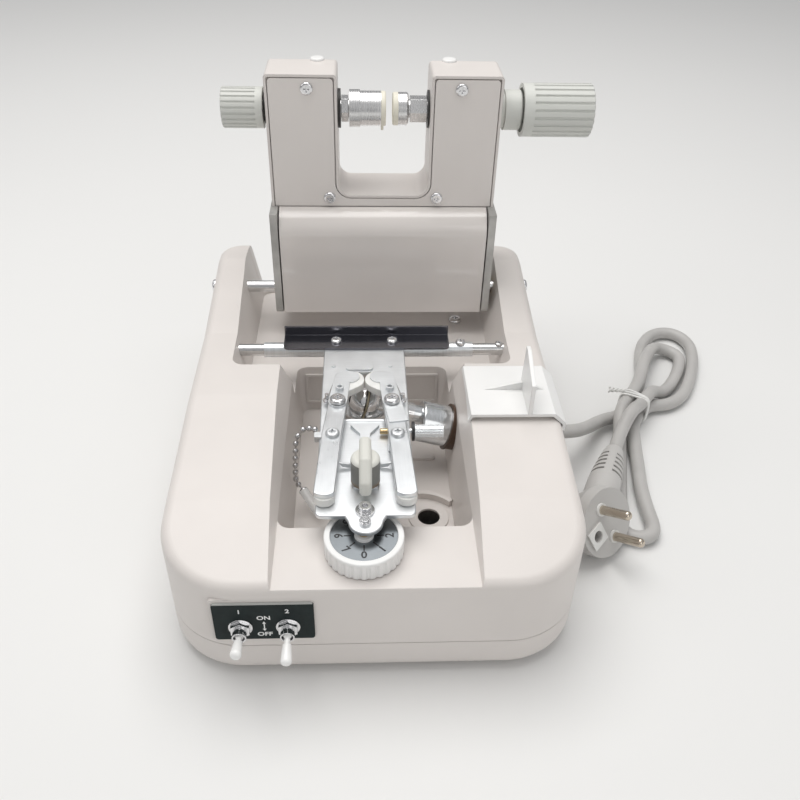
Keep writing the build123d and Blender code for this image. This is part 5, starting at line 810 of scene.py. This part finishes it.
class GROOVER_OT_wheel(bpy.types.Operator):
    """Finish the grooving wheel, its guard, motor and grommet"""
    bl_idname = "groover.wheel"
    bl_label = "Grooving wheel"

    def execute(self, context):
        colours = context.scene.groover_colours
        paint(diamond_rim("wheel_rim", colours.wheel), "grinding_wheel")
        paint(polished("guard_steel", shade(colours.steel, 1.3), rough=0.13), "wheel_guard", "wheel_spindle")
        motor = lathed("motor_steel", shade(colours.plated, 0.95), WHEEL_CENTRE, WHEEL_WAY, rough=0.17,
                       pitch=0.0009)
        paint(motor, "wheel_motor")
        paint(moulded("grommet_brown", colours.grommet, rough=0.35, grain=1.2), "motor_grommet")
        return {"FINISHED"}


class GROOVER_OT_guide(bpy.types.Operator):
    """Finish the guide plate, arms, shoes, rod and bracket"""
    bl_idname = "groover.guide"
    bl_label = "Guide plate and arms"

    def execute(self, context):
        colours = context.scene.groover_colours
        paint(drawn("plate_nickel", colours.plated, rough=0.40, lines=0.5), "guide_plate", "selector_plate")
        paint(drawn("arm_nickel", shade(colours.plated, 1.03), rough=0.30, along=ALONG_Y, lines=0.6),
              "left_arm", "right_arm")
        paint(drawn("bracket_blued", colours.bracket, rough=0.20, lines=0.6), "splash_bracket")
        paint(drawn("shoe_plate_steel", shade(colours.plated, 0.95), rough=0.40, lines=0.4),
              "left_shoe_plate", "right_shoe_plate")
        paint(cloudy_nylon("shoe_nylon", colours.nylon), "left_shoe", "right_shoe")
        paint(lathed("rod_steel", shade(colours.steel, 1.15), ROD_LINE, ALONG_X, rough=0.14), "guide_rod")
        paint(lathed("sleeve_steel", colours.plated, ROD_LINE, ALONG_X, rough=0.33), "guide_sleeve")
        paint(polished("guide_screw_chrome", colours.chrome), "guide_plate_screws", "arm_pivots")
        paint(banded("stop_screw", colours.brass, shade(colours.plated, 1.05)), "position_screw")
        paint(shaded_knob("selector_knob", colours.selector), "mode_knob")
        paint(polished("chain_chrome", shade(colours.chrome, 0.75), rough=0.10), "ball_chain")
        chain = frame["nodes"]["ball_chain"].data
        chain.materials.append(clear_plastic("peg_clear"))
        for face in chain.polygons:
            if face.center.z < PEG_TOP_Z or face.center.y < PEG_BACK_Y:
                face.material_index = 1
        return {"FINISHED"}


class GROOVER_OT_dial(bpy.types.Operator):
    """Finish the depth dial and print its numerals"""
    bl_idname = "groover.dial"
    bl_label = "Depth dial"

    def execute(self, context):
        colours, sizes = context.scene.groover_colours, context.scene.groover_sizes
        paint(moulded("dial_white", colours.white, rough=0.34, grain=0.7), "depth_dial")
        paint(lathed("stem_brass", colours.brass, DIAL_CENTRE, ALONG_Z, rough=0.25), "depth_stem")
        body = frame_body("depth_dial")
        face = DIAL_CENTRE + UP * DIAL_FACE_Z
        plate = ring(sizes.dial_plate_r, sizes.dial_hole_r, DIAL_PLATE_T, Matrix.Translation(face))
        seat(plate, "dial_plate", body, "aluminium",
             drawn("dial_plate_silver", colours.dial_plate, rough=0.30, lines=0.6))
        marks = []
        for number in range(DIAL_NUMERALS):
            angle = number * math.tau / DIAL_NUMERALS
            way = Vector((math.sin(angle), -math.cos(angle), 0))
            lie = Matrix.Rotation(angle, 4, "Z")
            top = face + UP * DIAL_PRINT_LIFT
            spot = Matrix.Translation(top + way * sizes.numeral_ring) @ lie
            marks.append(lettering(str(number), sizes.numeral_h, sizes.print_t, spot))
            tick = Matrix.Translation(top + way * sizes.tick_ring) @ lie
            marks.append(plain_bar((sizes.tick_w, sizes.tick_l, sizes.print_t), tick))
        seat(join(marks), "dial_marks", body, "black", inked("dial_ink", colours.dial_ink))
        return {"FINISHED"}


class GROOVER_OT_switches(bpy.types.Operator):
    """Finish the switches and print ON, OFF, their numbers and the arrow"""
    bl_idname = "groover.switches"
    bl_label = "Switches"

    def execute(self, context):
        colours, sizes = context.scene.groover_colours, context.scene.groover_sizes
        paint(enamelled("switch_enamel", colours.enamel), "switch_plate")
        paint(lathed("switch_nickel", shade(colours.chrome, 0.98), SWITCH_LINE, ALONG_Y, rough=0.14),
              "switch_bodies")
        paint(moulded("lever_white", shade(colours.white, 1.05), rough=0.24, grain=0.3, coat=0.2, cloud=0.01),
              "lens_switch_lever", "wheel_switch_lever")
        towards = (0, -1, 0)
        marks = []
        for words, x, z in LEGENDS:
            spot = plane_at((x, PRINT_Y, z), ALONG_X, towards)
            marks.append(lettering(words, sizes.legend_h, sizes.print_t, spot, 1.1))
        stem = plane_at((ARROW_X, PRINT_Y, ARROW_Z), ALONG_X, towards)
        marks.append(plain_bar((sizes.arrow_w, sizes.tick_l, sizes.print_t), stem))
        for side in (-1, 1):
            spot = (ARROW_X, PRINT_Y + ARROW_SINK, ARROW_Z + side * ARROW_HEAD_REACH)
            marks.append(arrow_head(sizes.arrow_head_r, sizes.print_t, plane_at(spot, (side, 0, 0), towards)))
        seat(join(marks), "switch_legend", "body", "white", inked("legend_ink", colours.legend_ink))
        return {"FINISHED"}


def tie_turn(side, half, low, top, lean, phase, radius):
    """One turn of the tie wire, a wavy loop round the lead's runs."""
    outline = (
        (-half, low + TIE_CORNER), (-half + TIE_NICK, low + TIE_NICK), (-half + TIE_CORNER, low),
        (half - TIE_CORNER, low), (half - TIE_NICK, low + TIE_NICK), (half, low + TIE_CORNER),
        (half, top - TIE_CORNER), (half - TIE_NICK, top - TIE_NICK), (half - TIE_CORNER, top),
        (-half + TIE_CORNER, top), (-half + TIE_NICK, top - TIE_NICK), (-half, top - TIE_CORNER),
    )
    spots = []
    for across, up in outline:
        shift = lean + TIE_WAVE * math.sin(across / half * 1.6 + phase)
        spots.append(TIE_AT + side * across + UP * up + TIE_WAY * shift)
    return wire("tie_turn", spots, radius, 3, True)


def tie_twist(side, knot, phase, radius):
    """One of the tie wire's two ends, twisted round the other and opening towards its tip."""
    way = (-side * 0.9 - TIE_WAY * 0.35).normalized()
    across = way.cross(UP).normalized()
    spots = []
    for step in range(TWIST_STEPS + 1):
        share = step / TWIST_STEPS
        angle = phase + step * 0.95
        spread = 0.0008 + 0.0009 * share ** 3
        rise = math.sin(angle) * spread - share * TWIST_L * 0.12
        spots.append(knot + way * (share * TWIST_L) + across * math.cos(angle) * spread + UP * rise)
    return wire("tie_twist", spots, radius)


class GROOVER_OT_lead(bpy.types.Operator):
    """Lay the mains lead and bind its loops with a wire tie"""
    bl_idname = "groover.lead"
    bl_label = "Mains lead"

    def execute(self, context):
        colours, sizes = context.scene.groover_colours, context.scene.groover_sizes
        route = [[place * MM for place in spot] for spot in LEAD_ROUTE]
        lead = line_through("mains_lead", route, sizes.lead_r, 3, 6, 10)
        seat(lead, "mains_lead", "body", "cord", lead_skin("lead_vinyl", colours.lead), "power_cord")
        paint(moulded("gland_grey", colours.lead, grain=1.0), "cord_gland")

        side = TIE_WAY.cross(UP)
        reach = sizes.lead_r + sizes.tie_r
        half = TIE_SPREAD + reach
        top = TIE_RISE + reach
        turns = [tie_turn(side, half, -reach, top, lean, phase, sizes.tie_r)
                 for phase, lean in enumerate(TIE_LEANS)]
        knot = TIE_AT - side * (half - 0.0022) + UP * (top + 0.0004)
        turns += [tie_twist(side, knot, phase, sizes.tie_r) for phase in (0.0, math.pi)]
        tie = join(turns)
        seat(tie, "wire_tie", "body", "white",
             moulded("tie_vinyl", colours.tie, rough=0.3, grain=0.4, edge=0), "cord_tie")
        return {"FINISHED"}


class GROOVER_OT_plug(bpy.types.Operator):
    """Finish the plug: pins, pin collars and the earth socket's square"""
    bl_idname = "groover.plug"
    bl_label = "Mains plug"

    def execute(self, context):
        colours, sizes = context.scene.groover_colours, context.scene.groover_sizes
        paint(moulded("plug_grey", shade(colours.lead, 1.06), rough=0.40, grain=0.8), "plug_body")
        paint(drawn("pin_nickel", colours.pins, rough=0.20, lines=0.5), "plug_pins")
        face = plane_at(PLUG_AT, PIN_LINE, PLUG_WAY)
        pieces = []
        for side in (-1, 1):
            lie = face @ Matrix.Translation((side * PIN_REACH, 0, 0.0001))
            pieces.append(ring(sizes.collar_r, sizes.collar_hole_r, sizes.collar_t, lie))
        lie = face @ Matrix.Translation((0, -TILE_DROP, 0.0009))
        pieces.append(square_frame(sizes.tile_w, sizes.tile_hole_r, sizes.tile_t, lie))
        seat(join(pieces), "plug_trim", "body", "white",
             moulded("plug_trim_white", colours.trim, rough=0.35, grain=0.6, edge=0))
        return {"FINISHED"}


class GROOVER_OT_studio(bpy.types.Operator):
    """Set up the floor, the lights and the camera"""
    bl_idname = "groover.studio"
    bl_label = "Studio"

    def execute(self, context):
        scene = context.scene
        studio = scene.groover_studio
        deselect()
        bpy.ops.mesh.primitive_plane_add(size=FLOOR_WIDTH, location=(0, 0, 0))
        floor = context.object
        floor.name = "floor"
        finish = Finish("table_top")
        grain = finish.noise(finish.place(), 3.0, 3.0)
        body = finish.mix(grain, shade(studio.floor, 0.99), shade(studio.floor, 1.01))
        floor.data.materials.append(finish.surface({"Base Color": body, "Roughness": 0.65 + grain * 0.05}))

        sky = Finish("studio_sky", bpy.data.worlds)
        scene.world = sky.owner
        height = sky.parts(sky.node("ShaderNodeTexCoord"))[2]
        stops = [(place, (level, level, level * 1.01, 1)) for place, level in SKY_LEVELS]
        light = sky.node("ShaderNodeBackground", {},
                         {0: sky.node("ShaderNodeValToRGB", {"stops": stops}, {0: height}), 1: studio.sky})
        backdrop = sky.node("ShaderNodeBackground", {}, {0: BACKDROP, 1: 1.0})
        seen = sky.node("ShaderNodeLightPath", out="Is Camera Ray")
        shown = sky.node("ShaderNodeMixShader", {}, {0: seen, 1: light, 2: backdrop})
        sky.node("ShaderNodeOutputWorld", {}, {0: shown})

        for name, (place, target, width) in LAMPS.items():
            lamp = bpy.data.lights.new(name, "AREA")
            lamp.size = width
            lamp.energy = getattr(studio, name)
            lamp.color = LAMP_COLOUR
            holder = bpy.data.objects.new(name, lamp)
            holder.location = place
            holder.rotation_euler = (Vector(target) - Vector(place)).to_track_quat("-Z", "Y").to_euler()
            scene.collection.objects.link(holder)

        pitch, yaw, roll = (math.radians(angle) for angle in (CAMERA_DOWN, CAMERA_ASIDE, CAMERA_ROLL))
        spin = Matrix.Rotation(yaw, 3, "Z")
        ahead = spin @ Vector((0, math.cos(pitch), -math.sin(pitch)))
        up = spin @ Vector((0, math.sin(pitch), math.cos(pitch)))
        right = spin @ Vector(ALONG_X)
        right, up = (right * math.cos(roll) + up * math.sin(roll),
                     up * math.cos(roll) - right * math.sin(roll))
        camera = bpy.data.cameras.new("camera")
        camera.sensor_width = SENSOR_WIDTH
        camera.lens = SENSOR_WIDTH * FOCAL_PIXELS / PICTURE_PIXELS
        camera.clip_start = 0.01
        holder = bpy.data.objects.new("camera", camera)
        turned = Matrix((right, up, -ahead)).transposed().to_4x4()
        holder.matrix_world = Matrix.Translation(CAMERA_AT) @ turned
        scene.collection.objects.link(holder)
        scene.camera = holder
        scene.view_settings.view_transform = "Standard"
        return {"FINISHED"}


class GROOVER_PT_panel(bpy.types.Panel):
    """Lists the groover's pieces and their settings"""
    bl_idname = "GROOVER_PT_panel"
    bl_label = "Lens groover"
    bl_space_type = "VIEW_3D"
    bl_region_type = "UI"
    bl_category = "Groover"

    def draw(self, context):
        for operator in OPERATORS:
            self.layout.operator(operator.bl_idname)
        for _, name in GROUPS:
            group = getattr(context.scene, name)
            box = self.layout.box()
            for key in group.bl_rna.properties.keys():
                if key not in ("rna_type", "name"):
                    box.prop(group, key)


GROUPS = (
    (GrooverColours, "groover_colours"),
    (GrooverSizes, "groover_sizes"),
    (GrooverStudio, "groover_studio"),
)
OPERATORS = (
    GROOVER_OT_studio, GROOVER_OT_housing, GROOVER_OT_head, GROOVER_OT_chucks, GROOVER_OT_wheel,
    GROOVER_OT_guide, GROOVER_OT_dial, GROOVER_OT_switches, GROOVER_OT_lead, GROOVER_OT_plug,
)


def register():
    for group, name in GROUPS:
        bpy.utils.register_class(group)
        setattr(bpy.types.Scene, name, PointerProperty(type=group))
    for operator in OPERATORS:
        bpy.utils.register_class(operator)
    bpy.utils.register_class(GROOVER_PT_panel)


def unregister():
    bpy.utils.unregister_class(GROOVER_PT_panel)
    for operator in reversed(OPERATORS):
        bpy.utils.unregister_class(operator)
    for group, name in reversed(GROUPS):
        delattr(bpy.types.Scene, name)
        bpy.utils.unregister_class(group)


def main():
    register()
    for operator in OPERATORS:
        group, name = operator.bl_idname.split(".")
        getattr(getattr(bpy.ops, group), name)()


if __name__ == "__main__":
    main()
